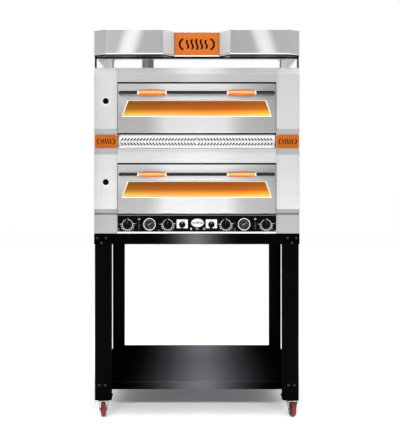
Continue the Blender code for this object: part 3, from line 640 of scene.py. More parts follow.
def lettering(bm, text, x, y, z, size):
    """Plain numerals laid flat on the plane at y, facing -Y, thin as print."""
    curve = bpy.data.curves.new("numeral", "FONT")
    curve.body = text
    curve.size = size
    curve.extrude = 0.0001
    curve.align_x = "CENTER"
    curve.align_y = "CENTER"
    obj = bpy.data.objects.new("numeral", curve)
    bpy.context.collection.objects.link(obj)
    bpy.context.view_layer.update()
    made = bpy.data.meshes.new_from_object(obj.evaluated_get(bpy.context.evaluated_depsgraph_get()))
    made.transform(Matrix.Translation((x, y, z)) @ Matrix.Rotation(math.pi / 2, 4, "X"))
    bm.from_mesh(made)
    bpy.data.objects.remove(obj)
    bpy.data.curves.remove(curve)
    bpy.data.meshes.remove(made)


def ring(bm, centre, inner, outer, thick, segments=48):
    """A flat ring that stands off a plane facing -Y."""
    profile = [(inner, 0), (outer, 0), (outer, thick), (inner, thick), (inner, 0)]
    turned(bm, profile, centre, (0, -1, 0), segments)


def partial_ring(bm, centre, inner, outer, start, end, thick=FILM):
    """Part of a flat ring, its angles in degrees from +X towards +Z."""
    x, y, z = centre
    outline = arc((x, z), outer, start, end, 24) + list(reversed(arc((x, z), inner, start, end, 24)))
    prism(bm, outline, "Y", y - thick, y)


def stroke(bm, centre, angle, inner, outer, width, thick=FILM):
    """A straight mark that points away from a centre at an angle in degrees."""
    x, y, z = centre
    turn = Matrix.Rotation(math.radians(angle), 2)
    corners = [(inner, -width / 2), (outer, -width / 2), (outer, width / 2), (inner, width / 2)]
    outline = [tuple(Vector((x, z)) + turn @ Vector(corner)) for corner in corners]
    prism(bm, outline, "Y", y - thick, y)


def wave(bm, x, y, z, height, sway, width, thick=FILM):
    """An upright S-shaped stroke, the usual sign for heat."""
    steps = 14
    middle = []
    for k in range(steps + 1):
        share = k / steps
        middle.append((x + sway * math.sin(2 * math.pi * share), z + height * (share - 0.5)))
    outline = [(a - width / 2, b) for a, b in middle] + [(a + width / 2, b) for a, b in reversed(middle)]
    prism(bm, outline, "Y", y - thick, y)


def bolt(bm, centre, direction, radius, tall=0.0030, washer=1.45):
    """A low domed head on a washer."""
    profile = [(radius * washer, 0), (radius * washer, 0.0008), (radius, 0.0009)]
    for k in range(5):
        angle = math.radians(90 * k / 4)
        profile.append((radius * math.cos(angle), 0.0009 + (tall - 0.0009) * math.sin(angle)))
    profile[-1] = (0, tall)
    turned(bm, profile, centre, direction, 20)


def hexagon(bm, centre, direction, radius, tall):
    turned(bm, [(radius, 0), (radius, tall * 0.86), (radius * 0.88, tall)], centre, direction, 6)


# The CAD nodes that stay, with welded corners and softened edges.


def dress(node, material, edge=0.0006):
    obj = frame["nodes"][node]
    obj.data.materials.clear()
    obj.data.materials.append(material)
    if edge:
        weld = obj.modifiers.new("Weld", "WELD")
        weld.merge_threshold = 0.00001
        bevel(obj, edge)


def dress_frame():
    dress("top_cover", TOP_STEEL)
    dress("fascia_lower", FASCIA_STEEL)
    dress("hood_shell", HOOD_STEEL, 0.0003)
    dress("chassis", REAR_STEEL)
    for side in SIDES:
        dress(f"pillar_{side}", PILLAR_STEEL)
        dress(f"side_panel_{side}", SIDE_STEEL)
        dress(f"badge_plate_{side}", SIDE_ORANGE, 0.0003)
        for end in ENDS:
            dress(f"stand_leg_{end}_{side}", PAINT, 0.0008)
    dress("stand_top_frame", BEAM, 0.0008)
    dress("stand_shelf", SHELF, 0.0008)
    dress("hood_badge", ORANGE, 0.0003)
    dress("control_panel", PANEL)
    dress("hood_frame", HOOD_FRAME)
    for deck in HINGE:
        dress(f"chamber_{deck}", LINING)
        dress(f"stone_{deck}", STONE, 0.0015)
        dress(f"door_{deck}_panel", steel(f"door_steel_{deck}", tone=door_tone(HINGE[deck])))
        dress(f"door_{deck}_glass", amber_glass_painted_glow(deck), 0.0002)
        for place in ("top", "bottom"):
            dress(f"element_{deck}_{place}", SHEATH, 0)


# Hood and flues.


def hood_plan():
    """Front corners of the hood's skirt as (x, depth), from the left to the right."""
    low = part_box("hood_shell")[0]
    nose = low.y - FRONT
    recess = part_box("hood_badge")[1].y - FRONT + GAP
    half = [(HALF, -0.014), (0.406, nose), (0.150, nose), (0.104, recess)]
    return [(-x, d) for x, d in half] + list(reversed(half))


def heat_mark(bm, centre, size):
    """A generic motif: five heat waves between two round brackets, about 3.4 sizes wide."""
    x, y, z = centre
    for k in range(-2, 3):
        wave(bm, x + k * 0.42 * size, y, z, size * (1.0 - 0.10 * abs(k)), 0.075 * size, 0.19 * size)
    for start, shift in ((110, -1.05), (-70, 1.05)):
        partial_ring(bm, (x + shift * size, y, z), 0.42 * size, 0.60 * size, start, start + 140)


def make_hood():
    low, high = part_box("hood_shell")
    plan = [Vector((x, back(d))) for x, d in hood_plan()]
    ends = [(plan[0].x + 0.0030, REAR - 0.010), (plan[-1].x - 0.0030, REAR - 0.010)]
    # A rolled hem along the skirt's foot, and a fold line at its head.
    crown_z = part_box("hood_frame")[1].z + 0.0010
    for name, z, radius, material in (("hood_hem", low.z + 0.0034, 0.0033, TRIM_STEEL),
                                      ("hood_crown", crown_z, 0.0014, FLUE)):
        bm = bmesh.new()
        path = [(*ends[0], z), *((p.x * 0.9935, p.y + 0.0005, z) for p in plan), (*ends[1], z)]
        tube(bm, path, radius, 12)
        piece(name, bm, material, "oven")
    # A drip channel under the hem of the front facets, in black that stands for the dark wavy reflection
    # under the skirt; its lower lip waves a little.
    bm = bmesh.new()
    points = []
    for start, end in zip(plan, plan[1:]):
        count = max(2, round((end - start).length / 0.012))
        points += [start.lerp(end, k / count) for k in range(count)]
    points.append(plan[-1])
    rows = []
    for count, p in enumerate(points):
        sway = 0.0012 * math.sin(count * 0.62)
        section = [(0.002, 0.0), (0.002, -0.0022 - sway), (0.005, -0.0044), (0.012, -0.0044), (0.012, 0.0)]
        rows.append([(p.x * 0.993, p.y + y, low.z + z) for y, z in section])
    rings = corners(bm, rows)
    skin(bm, rings)
    cap(bm, rings)
    piece("hood_drip_channel_dark_reflection", bm, KNOB, "oven")

    plate_low, plate_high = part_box("hood_badge")
    bm = bmesh.new()
    middle = (plate_low + plate_high) / 2
    heat_mark(bm, (middle.x, plate_low.y, middle.z), 0.050)
    piece("hood_badge_motif", bm, MARK, "oven")
    # Dark strips at the plate's sides stand for the shadow in the gaps beside it.
    for side, sign in SIDES.items():
        edge = sign * (plate_high.x - 0.0012)
        plate(f"hood_badge_shadow_gap_{side}", rectangle(edge - 0.0012, edge + 0.0012, plate_low.z, plate_high.z),
              "Y", plate_low.y - 0.0006, plate_low.y, MARK, "oven")

    # Rolled rim, seam and flange ring of the duct collar.
    bm = bmesh.new()
    centre = (0, back(0.480))
    radius = 0.077
    for z, out, thick in ((high.z - 0.0030, 0.0010, 0.0022), (ROOF + 0.022, 0.0005, 0.0020)):
        tube(bm, [(x, y, z) for x, y in circle(centre, radius + out, 64)], thick, 10, True)
    profile = [(radius + 0.0004, 0), (radius + 0.016, 0), (radius + 0.016, 0.0014), (radius + 0.002, 0.0016),
               (radius + 0.0004, 0.006), (radius + 0.0004, 0)]
    turned(bm, profile, (*centre, ROOF), (0, 0, 1), 64)
    piece("duct_collar_rings", bm, FLUE, "oven")
    bm = bmesh.new()
    for x, y in arc(centre, radius + 0.011, 15, 375, 6)[:-1]:
        bolt(bm, (x, y, ROOF + 0.0014), (0, 0, 1), 0.0022, 0.0022)
    for x in (-0.44, -0.15, 0.15, 0.44):
        for depth in (0.03, 0.44, 0.82):
            bolt(bm, (x, back(depth), ROOF), (0, 0, 1), 0.0030, 0.0026)
    piece("hood_rivets", bm, ZINC, "oven")


FLUES = ((-0.249, 0.650), (-0.281, 0.795))
FLUE_RADIUS = 0.021


def make_flues():
    low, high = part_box("flue_manifold")
    bm = bmesh.new()
    for x, depth in FLUES:
        base = (x, back(depth), low.z)
        tall = high.z - low.z
        profile = [(FLUE_RADIUS - 0.0015, 0), (FLUE_RADIUS, 0), (FLUE_RADIUS, tall - 0.004),
                   (FLUE_RADIUS + 0.0012, tall - 0.003), (FLUE_RADIUS + 0.0012, tall - 0.001),
                   (FLUE_RADIUS, tall), (FLUE_RADIUS - 0.0015, tall), (FLUE_RADIUS - 0.0015, 0)]
        turned(bm, profile, base, (0, 0, 1), 48)
    piece("flue_pipes", bm, FLUE, "oven", 0, ["flue_manifold"])

    bm = bmesh.new()
    prism(bm, rounded(low.x, high.x, low.y, high.y, 0.012), "Z", OVEN_TOP + GAP, OVEN_TOP + 0.002)
    for x, depth in FLUES:
        skirt = [(FLUE_RADIUS + 0.0002, 0.0018), (FLUE_RADIUS + 0.010, 0.0018), (FLUE_RADIUS + 0.010, 0.0034),
                 (FLUE_RADIUS + 0.003, 0.0036), (FLUE_RADIUS + 0.0016, 0.010), (FLUE_RADIUS + 0.0002, 0.010),
                 (FLUE_RADIUS + 0.0002, 0.0018)]
        turned(bm, skirt, (x, back(depth), OVEN_TOP), (0, 0, 1), 48)
    piece("flue_base_plate", bm, TRIM_STEEL, "oven", 0.0004)
    inset = 0.009
    spots = [(x, y, OVEN_TOP + 0.002) for x in (low.x + inset, high.x - inset)
             for y in (low.y + inset, (low.y + high.y) / 2, high.y - inset)]
    bolts("flue_base_screws", spots, (0, 0, 1), 0.0026, 0.0030, ZINC, "oven")


# Oven body.


def make_vent_band():
    """Folded sheet with two rows of slanted slots that lean towards each side, over a dark backing."""
    low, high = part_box("vent_band")
    sheet = 0.0012
    face = low.y
    pitch = 0.0143
    wide = 0.0066
    lean = 0.0088
    count = 24
    heights = [low.z, low.z + 0.0152, low.z + 0.0272, low.z + 0.0360, low.z + 0.0480, high.z - 0.0010]
    leans = [lean, lean, 0.0, 0.0, lean, lean]
    first = -0.0138 - (count - 1) * pitch
    edges = []
    for k in range(count):
        edges += [first + k * pitch - wide / 2, first + k * pitch + wide / 2]
    columns = [(x, 1) for x in edges] + [(-x, -1) for x in reversed(edges)]
    bm = bmesh.new()
    rows = []
    for z, shift in zip(heights, leans):
        row = [bm.verts.new((low.x, face, z))]
        row += [bm.verts.new((x + sign * shift, face, z)) for x, sign in columns]
        row.append(bm.verts.new((high.x, face, z)))
        rows.append(row)
    for extra_y, extra_z in ((face + 0.0003, high.z), (high.y, high.z)):
        rows.append([bm.verts.new((v.co.x, extra_y, extra_z)) for v in rows[5]])
    for level, (under, over) in enumerate(zip(rows, rows[1:])):
        slotted = level in (1, 3)
        for k in range(len(under) - 1):
            if slotted and k % 2 == 1:
                continue
            bm.faces.new((under[k], under[k + 1], over[k + 1], over[k]))
    obj = piece("vent_band_sheet", bm, BAND_STEEL, "oven", 0, ["vent_band"])
    thick = obj.modifiers.new("Thickness", "SOLIDIFY")
    thick.thickness = sheet
    thick.offset = -1
    block("vent_band_backing", (low.x + 0.001, face + 0.0030, low.z + 0.002),
          (high.x - 0.001, face + 0.0040, high.z - 0.003), BACKING, "oven")
    # The shadow line where the lower fascia's head tucks in under the band.
    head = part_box("fascia_lower")[1].z
    block("vent_band_foot_line", (low.x, back(-0.0004), head - 0.0035),
          (high.x, back(-0.0001), head - 0.0012), STRIP_STEEL, "oven")


def make_badges():
    for side in SIDES:
        low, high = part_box(f"badge_plate_{side}")
        middle = (low + high) / 2
        bm = bmesh.new()
        heat_mark(bm, (middle.x, low.y, middle.z), 0.0255)
        piece(f"side_badge_motif_{side}", bm, MARK, "oven")
        inset = 0.0035
        spots = [(x, low.y, z) for x in (low.x + inset, high.x - inset)
                 for z in (low.z + inset, high.z - inset)]
        bolts(f"side_badge_pins_{side}", spots, (0, -1, 0), 0.0012, 0.0011, RIM, "oven", 1.2)


# The rope seal round a chamber's mouth: its half width, and its foot and head over the door's hinge.
SEAL_HALF = 0.351
SEAL_FOOT = 0.007
SEAL_HEAD = 0.189


def make_seals():
    """Dark strips in the slits over and under each door, and the rope seal on each chamber's flange."""
    for deck, pivot in HINGE.items():
        low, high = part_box(f"door_{deck}_panel")
        block(f"door_{deck}_top_strip", (-OPENING + 0.001, back(0.020), high.z + GAP),
              (OPENING - 0.001, back(0.0335), high.z + 0.0068), SEAL_AND_SHADE, "oven")
        block(f"door_{deck}_foot_strip", (-OPENING + 0.001, back(0.0305), low.z - 0.003),
              (OPENING - 0.001, back(0.0335), low.z + 0.004), SEAL_AND_SHADE, "oven")
        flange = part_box(f"chamber_{deck}")[0].y
        radius = 0.0016
        loop = rounded(-SEAL_HALF, SEAL_HALF, pivot.z + SEAL_FOOT, pivot.z + SEAL_HEAD, 0.012)
        bm = bmesh.new()
        tube(bm, [(x, flange - radius - 0.0001, z) for x, z in loop], radius, 10, True)
        piece(f"chamber_{deck}_rope_seal", bm, SEAL_AND_SHADE, "oven")
        foot = pivot.z + 0.0005
        head = pivot.z + 0.200
        spots = [(x, flange, head) for x in (-0.354, 0.354)]
        spots += [(x, flange, z) for x in (-0.18, 0.0, 0.18) for z in (foot, head)]
        bolts(f"chamber_{deck}_flange_screws", spots, (0, -1, 0), 0.0022, 0.0018, ZINC, "oven")


def make_body_details():
    # The thin grey strip over the control panel, behind the open door's sweep, dimmed with painted shade, a
    # black block over it that stands for the shadow in the gap, and the bright lip under it.
    panel_low, panel_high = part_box("control_panel")
    lower_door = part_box("door_lower_panel")[0].z
    block("panel_top_strip", (-OPENING, back(0.0222), panel_high.z + GAP),
          (OPENING, back(0.0265), panel_high.z + 0.0040), STRIP_STEEL, "oven", 0.0004)
    block("panel_top_shadow", (-OPENING, back(0.024), panel_high.z + 0.0042),
          (OPENING, back(0.0275), lower_door - 0.0008), SEAL_AND_SHADE, "oven")
    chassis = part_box("chassis")[0]
    block("chassis_lip_trim", (-OPENING, back(-0.0008), chassis.z + 0.0002),
          (OPENING, back(-GAP), panel_low.z - 0.0006), TRIM_STEEL, "oven", 0.0003)

    # Screws along the side panels and the rear wall, and a louvred vent low on the rear wall.
    levels = (0.848, 1.205, 1.560)
    for side, sign in SIDES.items():
        x = sign * (HALF - 0.0014)
        spots = [(x, back(depth), z) for depth in (0.060, 0.300, 0.560, 0.825) for z in levels]
        bolts(f"side_screws_{side}", spots, (sign, 0, 0), 0.0036, 0.0014, ZINC, "oven", 1.3)
    spots = [(x, REAR, z) for x in (-0.44, -0.22, 0.0, 0.22, 0.44) for z in levels]
    bolts("rear_screws", spots, (0, 1, 0), 0.0036, 0.0022, ZINC, "oven", 1.3)
    bm = bmesh.new()
    for column in (-0.26, 0.02):
        for k in range(6):
            bulge = arc((0.862 + k * 0.014, REAR), 0.0045, 0, 180, 8)
            prism(bm, [(y, z) for z, y in bulge], "X", column - 0.055, column + 0.055)
    piece("rear_louvres", bm, REAR_STEEL, "oven", 0.0004)

    bm = bmesh.new()
    x, z = 0.380, 0.900
    reach = 0.025
    profile = [(0.0065, 0.001), (0.0150, 0.001), (0.0155, 0.0015), (0.0155, 0.0065), (0.0150, 0.0070),
               (0.0125, 0.0074)]
    for k in range(6):
        profile += [(0.0125, 0.0085 + 0.0018 * k), (0.0119, 0.0094 + 0.0018 * k)]
    profile += [(0.0112, 0.0205), (0.0092, reach - 0.0006), (0.0065, reach - 0.0006), (0.0065, 0.001)]
    turned(bm, profile, (x, REAR, z), (0, 1, 0), 36)
    piece("cable_gland_body", bm, KNOB, "oven", 0, ["cable_gland"])
    bm = bmesh.new()
    hexagon(bm, (x, REAR + 0.0003, z), (0, 1, 0), 0.0168, 0.0062)
    piece("cable_gland_nut", bm, KNOB, "oven", 0.0003)


# Doors.

# Foot and head of the door's slanted window: half width and height over the hinge.
WINDOW_FOOT = (0.336, 0.069)
WINDOW_HEAD = (0.3105, 0.138)


def window_outline(pivot, grow):
    """The window's outline as (x, z), pushed out by grow."""
    foot = WINDOW_FOOT[0] + grow
    head = WINDOW_HEAD[0] + grow * 0.9
    foot_z = pivot.z + WINDOW_FOOT[1] - grow
    head_z = pivot.z + WINDOW_HEAD[1] + grow
    return [(-foot, foot_z), (foot, foot_z), (head, head_z), (-head, head_z)]


def frame_between(bm, outer, inner, near, far):
    """A flat frame between two outlines with the same number of corners."""
    count = len(outer)
    for i in range(count):
        j = (i + 1) % count
        quad = [outer[i], outer[j], inner[j], inner[i]]
        prism(bm, quad, "Y", near, far)


def make_door(deck, pivot):
    body = f"door_{deck}"
    panel_low, panel_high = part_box(f"door_{deck}_panel")

    # Pressed rim round the window: a sloped lip from the panel's face in to the glass.
    bm = bmesh.new()
    levels = [(0.0042, back(-0.0002)), (0.0034, back(-0.0012)), (0.0008, back(-0.0010)),
              (-0.0014, back(0.0019)), (0.0002, back(0.0021)), (0.0042, back(-GAP / 3))]
    rows = [[(x, y, z) for x, z in window_outline(pivot, grow)] for grow, y in levels]
    skin(bm, corners(bm, rows), True)
    piece(f"door_{deck}_window_rim", bm, RIM, body, 0.0003)

    # A black printed border on the glass, behind the rim.
    bm = bmesh.new()
    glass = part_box(f"door_{deck}_glass")
    frame_between(bm, window_outline(pivot, -0.0002), window_outline(pivot, -0.0016), glass[0].y - FILM,
                  glass[0].y)
    piece(f"door_{deck}_glass_border", bm, MARK, body)

    # Inner plate in the open back of the panel, with its own pane, its frame and screws.
    inner = back(0.0265)
    outer = rectangle(panel_low.x + 0.0115, panel_high.x - 0.0115, panel_low.z + 0.010, panel_high.z - 0.0026)
    bm = bmesh.new()
    frame_between(bm, outer, window_outline(pivot, 0.004), inner, inner + 0.0015)
    piece(f"door_{deck}_inner_plate", bm, INNER_STEEL, body, 0.0004)
    bm = bmesh.new()
    frame_between(bm, window_outline(pivot, 0.012), window_outline(pivot, 0.0005), inner + 0.0016,
                  inner + 0.0028)
    piece(f"door_{deck}_inner_frame", bm, FLUE, body, 0.0004)
    plate(f"door_{deck}_inner_pane", window_outline(pivot, 0.0035), "Y", inner + 0.0002, inner + 0.0012,
          PANE, body, 0.0002)
    spots = [(x, inner + 0.0015, z) for x in (-0.34, -0.17, 0.0, 0.17, 0.34)
             for z in (panel_low.z + 0.018, panel_high.z - 0.010)]
    bolts(f"door_{deck}_inner_screws", spots, (0, 1, 0), 0.0026, 0.0018, ZINC, body)

    # Handle bar with bent ends, grips, collars and rivets.
    bar_low, bar_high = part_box(f"door_{deck}_bar")
    radius = (bar_high.z - bar_low.z) / 2
    z = (bar_high.z + bar_low.z) / 2
    y = bar_low.y + radius
    bend = 0.012
    end = bar_high.x - radius
    start_y = back(-GAP)
    corner = arc((-end + bend, y + bend), bend, 180, 270, 8)
    path = [(-end, start_y), *corner]
    path += [(-x, y2) for x, y2 in reversed(path)]
    bm = bmesh.new()
    tube(bm, [(x, y2, z) for x, y2 in path], radius - 0.00005, 28)
    piece(f"door_{deck}_bar_tube", bm, DARK, body, 0, [f"door_{deck}_bar"])
    bm = bmesh.new()
    for sign in SIDES.values():
        foot = [(radius + 0.0002, 0), (radius + 0.0016, 0), (radius + 0.0014, 0.0010),
                (radius + 0.0002, 0.0014), (radius + 0.0002, 0)]
        turned(bm, foot, (sign * end, back(-GAP), z), (0, -1, 0), 36)
    piece(f"door_{deck}_bar_feet", bm, DARK, body)

    wood = lacquered_wood(deck)
    for side, sign in SIDES.items():
        grip_low, grip_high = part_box(f"door_{deck}_grip_{side}")
        x = (grip_low.x + grip_high.x) / 2
        length = grip_high.x - grip_low.x
        widest = (grip_high.z - grip_low.z) / 2
        ferrule = 0.0065
        barrel = length - 2 * ferrule
        steps = 20
        profile = []
        for k in range(steps + 1):
            share = k / steps
            swell = math.sin(math.pi * share) ** 0.8
            profile.append((widest * (0.72 + 0.28 * swell), (share - 0.5) * barrel))
        bore = radius + 0.0004
        profile = [(bore, -barrel / 2), (widest * 0.66, -barrel / 2 - 0.0001), *profile,
                   (widest * 0.66, barrel / 2 + 0.0001), (bore, barrel / 2), (bore, -barrel / 2)]
        lathe(f"door_{deck}_grip_barrel_{side}", profile, (x, y, z), (1, 0, 0), wood, body, 40,
              stands_for=[f"door_{deck}_grip_{side}"])
        bm = bmesh.new()
        for far in (-1, 1):
            centre = (x + far * (length / 2 - ferrule), y, z)
            rim = widest * 0.80
            collar = [(bore, 0.0002), (rim, 0.0002), (rim * 1.02, 0.0012), (rim * 0.98, 0.0042),
                      (rim * 0.80, 0.0066), (bore, 0.0070), (bore, 0.0002)]
            turned(bm, collar, centre, (far, 0, 0), 40)
        piece(f"door_{deck}_grip_collars_{side}", bm, COLLAR, body)
        bm = bmesh.new()
        for far in (-1, 1):
            for up in (-1, 1):
                tip = (x + far * (barrel / 2 - 0.0035), y - 0.0052, z + up * widest * 0.62)
                turned(bm, [(0.0014, 0), (0.0013, 0.0022), (0.0008, 0.0030), (0, 0.0032)], tip,
                       (0, -0.55, up * 0.83), 12)
        piece(f"door_{deck}_grip_rivets_{side}", bm, RIVET, body)


# Steam vent pulls.

# A vent pull's place, and its height over the door's hinge.
VENT_X = -0.411
VENT_RISE = 0.1355


def make_vent_pull(deck, pivot):
    x = VENT_X
    z = pivot.z + VENT_RISE
    body = f"vent_{deck}"
    start = (x, back(-GAP), z)
    knob = [(0.0030, 0.0), (0.0085, 0.0), (0.0098, 0.0008), (0.0120, 0.0028), (0.0134, 0.0050),
            (0.0135, 0.0088), (0.0130, 0.0118), (0.0115, 0.0137), (0.0090, 0.0146), (0.0, 0.0148)]
    lathe(f"vent_{deck}_knob", knob, start, (0, -1, 0), PANEL, body, 40,
          stands_for=[f"vent_pull_{deck}"])
    # Push rod to the back of the chamber, cranked arm and sliding gate.
    bm = bmesh.new()
    tube(bm, [(x, back(0.0002), z), (x, back(0.636), z)], 0.0029, 16)
    hexagon(bm, (x, back(0.0320), z), (0, 1, 0), 0.0055, 0.004)
    slab(bm, (x - 0.004, back(0.632), z - 0.006), (-0.3482, back(0.640), z + 0.006))
    piece(f"vent_{deck}_rod", bm, ZINC, body, 0.0003)
    plate(f"vent_{deck}_gate", rounded(back(0.615), back(0.685), z - 0.032, z + 0.032, 0.006), "X", -0.3494,
          -0.3474, INNER_STEEL, body, 0.0003)
    # Rosette: a pale disc with a fine ring, and faint marks round it.
    disc = [(0.0036, 0), (0.0205, 0), (0.0200, 0.0007), (0.0036, 0.0009), (0.0036, 0)]
    lathe(f"vent_{deck}_rosette", disc, (x, back(0), z), (0, -1, 0), ROSETTE, "oven", 56)
    bm = bmesh.new()
    ring(bm, (x, back(0), z), 0.0305, 0.0313, FILM, 64)
    for k in range(9):
        stroke(bm, (x, back(0), z), 200 + 17.5 * k, 0.0330, 0.0352, 0.0008)
    piece(f"vent_{deck}_rosette_print", bm, PALE_PRINT, "oven")


# Control panel.


def make_thermostat(count):
    knob_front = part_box(f"thermostat_knob_{count}")[0].y
    pivot = PIVOTS[f"thermostat_{count}_turn"]
    x, z = pivot.x, pivot.z
    body = f"thermostat_{count}"
    face = PANEL_FACE
    # Knob: skirt, tapered body with finger notches, ridge and grey pointer line.
    bm = bmesh.new()
    rows = []
    segments = 72
    profile = [(0.0, 0.0004, 0), (0.0203, 0.0004, 0), (0.0210, 0.0012, 0), (0.0208, 0.0046, 0),
               (0.0196, 0.0056, 0), (0.0176, 0.0066, 0.3), (0.0172, 0.0090, 1), (0.0166, 0.0180, 1),
               (0.0158, 0.0196, 0.5), (0.0, 0.0199, 0)]
    for radius, height, notched in profile:
        row = []
        for k in range(segments if radius else 1):
            angle = 2 * math.pi * k / segments
            reach = radius - 0.0008 * notched * max(0.0, math.cos(12 * angle)) ** 2
            row.append((x + reach * math.cos(angle), face - height, z + reach * math.sin(angle)))
        rows.append(row)
    skin(bm, corners(bm, rows))
    piece(f"thermostat_{count}_body", bm, KNOB, body, 0, [f"thermostat_knob_{count}"])
    outline = rounded(x - 0.0040, x + 0.0040, z - 0.0155, z + 0.0155, 0.0026)
    plate(f"thermostat_{count}_ridge", outline, "Y", knob_front + 0.0002, face - 0.0190, KNOB, body,
          0.0009)
    plate(f"thermostat_{count}_pointer", rectangle(x - 0.0005, x + 0.0005, z + 0.0070, z + 0.0148), "Y",
          knob_front + 0.00005, knob_front + 0.0003, FAINT_PRINT, body)
    # Printed scale: a ring open at the top, graded strokes from nine round to three o'clock, a zero mark.
    bm = bmesh.new()
    centre = (x, face, z)
    partial_ring(bm, centre, 0.0222, 0.0247, 112, 428)
    for k in range(11):
        angle = 176 + 19.2 * k
        outer = 0.0330 if k % 2 == 0 else 0.0305
        stroke(bm, centre, angle, 0.0252, outer, 0.0028)
    piece(f"thermostat_{count}_scale", bm, PRINT, "oven")
    bm = bmesh.new()
    for start in (96, 60):
        partial_ring(bm, centre, 0.0218, 0.0250, start + 13, start + 25)
    piece(f"thermostat_{count}_scale_ends", bm, WHITE, "oven")
    bm = bmesh.new()
    stroke(bm, (x, face, z + 0.0252), 72, 0.0, 0.0070, 0.0014)
    for k, word in enumerate(("100", "200", "300", "400")):
        angle = math.radians((176, 233.6, 310.4, 368)[k])
        reach = 0.0372
        lettering(bm, word, x + reach * math.cos(angle), face, z + reach * math.sin(angle), 0.0058)
    piece(f"thermostat_{count}_numerals", bm, FAINT_PRINT, "oven")
    # Heat sign by the scale: a line over or under a short row of waves.
    side = -1 if x < 0 else 1
    bm = bmesh.new()
    spot = x + side * 0.040
    sign = -1 if count % 2 == 1 else 1
    slab(bm, (spot - 0.0060, face - FILM, z - 0.0262), (spot + 0.0060, face, z - 0.0246))
    for k in range(3):
        wave(bm, spot + (k - 1) * 0.0042, face, z - 0.0254 + (0.0062 if sign < 0 else -0.0052), 0.0056,
             0.0007, 0.0010)
    piece(f"thermostat_{count}_heat_sign", bm, FAINT_PRINT, "oven")


def make_switch(side):
    pivot = PIVOTS[f"switch_{side}_turn"]
    x, z = pivot.x, pivot.z
    body = f"switch_{side}"
    face = PANEL_FACE
    plate_z = z + 0.0035
    plate(f"switch_{side}_plate", rounded(x - 0.025, x + 0.025, plate_z - 0.0198, plate_z + 0.0198, 0.0018),
          "Y", face - 0.0002, face, WHITE, "oven")
    bm = bmesh.new()
    for angle in (118, 90, 62, -20, 200):
        stroke(bm, (x, face - 0.0002, z), angle, 0.0178, 0.0200, 0.0009, 0.0001)
    piece(f"switch_{side}_marks", bm, FAINT_PRINT, "oven")
    profile = [(0.0, 0.0003), (0.0141, 0.0003), (0.0145, 0.0012), (0.0143, 0.0070), (0.0136, 0.0086),
               (0.0, 0.0092)]
    lathe(f"switch_{side}_disc", profile, (x, face, z), (0, -1, 0), KNOB, body,
          stands_for=[f"switch_knob_{side}"])
    nose = [(-0.0045, 0.0125), (-0.0062, 0.0020), (-0.0080, -0.0100), (-0.0058, -0.0225), (-0.0025, -0.0225),
            (0.0035, -0.0120), (0.0048, 0.0), (0.0045, 0.0125)]
    plate(f"switch_{side}_nose", [(x + a, z + b) for a, b in nose], "Y", face - 0.0168, face - 0.0065, KNOB,
          body, 0.0012)
    lathe(f"switch_{side}_dot", [(0.0, 0), (0.0019, 0), (0.0018, 0.0002), (0.0, 0.0003)],
          (x - 0.0002, face - 0.0168, z + 0.0085), (0, -1, 0), PRINT, body, 20)


def make_thermometer(side):
    pivot = PIVOTS[f"needle_{side}_turn"]
    x, z = pivot.x, pivot.z
    face = PANEL_FACE
    centre = (x, face, z)
    # Case: rolled bezel, recess and can behind the panel.
    profile = [(0.0250, -0.0005), (0.0290, 0.0), (0.0292, 0.0012), (0.0286, 0.0040), (0.0276, 0.0056),
               (0.0262, 0.0062), (0.0250, 0.0056), (0.0243, 0.0040), (0.0240, 0.0010), (0.0240, -0.0080),
               (0.0015, -0.0080), (0.0015, -0.0330), (0.0230, -0.0330), (0.0248, -0.0310),
               (0.0250, -0.0005)]
    lathe(f"thermometer_{side}_bezel", profile, centre, (0, -1, 0), BRIGHT, "oven", 72,
          stands_for=[f"thermometer_case_{side}"])
    dial = face + 0.0078
    disc = [(0.0017, 0), (0.0237, 0), (0.0237, 0.0005), (0.0017, 0.0006), (0.0017, 0)]
    lathe(f"thermometer_{side}_dial", disc, (x, dial, z), (0, -1, 0), PANEL, "oven", 64)
    bm = bmesh.new()
    mark = (x, dial - 0.0006, z)
    for k in range(31):
        angle = 225 - 9 * k
        major = k % 5 == 0
        stroke(bm, mark, angle, 0.0192 if major else 0.0206, 0.0222, 0.0009 if major else 0.0004)
    for k in range(6):
        angle = math.radians(225 - 54 * k)
        lettering(bm, str(100 * k), x + 0.0150 * math.cos(angle), dial - 0.0006,
                  z + 0.0150 * math.sin(angle), 0.0052)
    turned(bm, [(0.0, 0), (0.0030, 0), (0.0030, FILM), (0.0, FILM)], (x, dial - 0.0006, z - 0.0165),
           (0, -1, 0), 20)
    piece(f"thermometer_{side}_scale", bm, FAINT_PRINT, "oven")
    # Needle on its spindle, at 30 degrees at rest.
    turn = Matrix.Rotation(math.radians(30), 2)
    blade = [(-0.0105, -0.0015), (-0.0030, -0.0010), (0.0165, -0.0003), (0.0165, 0.0003), (-0.0030, 0.0010),
             (-0.0105, 0.0015)]
    bm = bmesh.new()
    outline = [tuple(Vector((x, z)) + turn @ Vector(p)) for p in blade]
    prism(bm, outline, "Y", face + 0.0010, face + 0.0016)
    turned(bm, [(0.0012, -0.0200), (0.0012, -0.0018), (0.0028, -0.0016), (0.0028, -0.0006), (0.0022, 0.0),
                (0, 0.0002)], centre, (0, -1, 0), 24)
    piece(f"thermometer_{side}_pointer", bm, WHITE, f"needle_{side}", 0,
          [f"thermometer_needle_{side}"])
    lathe(f"thermometer_{side}_glass", [(0.0, 0), (0.0242, 0), (0.0242, 0.0010), (0.0, 0.0010)],
          (x, face - 0.0036, z), (0, -1, 0), PANE, "oven", 64)


# Indicator lamps: name, height and lens; each pair's middle is off the object's own by LAMP_SHIFT.
LAMPS = (("upper", 0.895, LENS), ("lower", 0.866, DIM_LENS))
LAMP_X = 0.263
LAMP_SHIFT = 0.0015


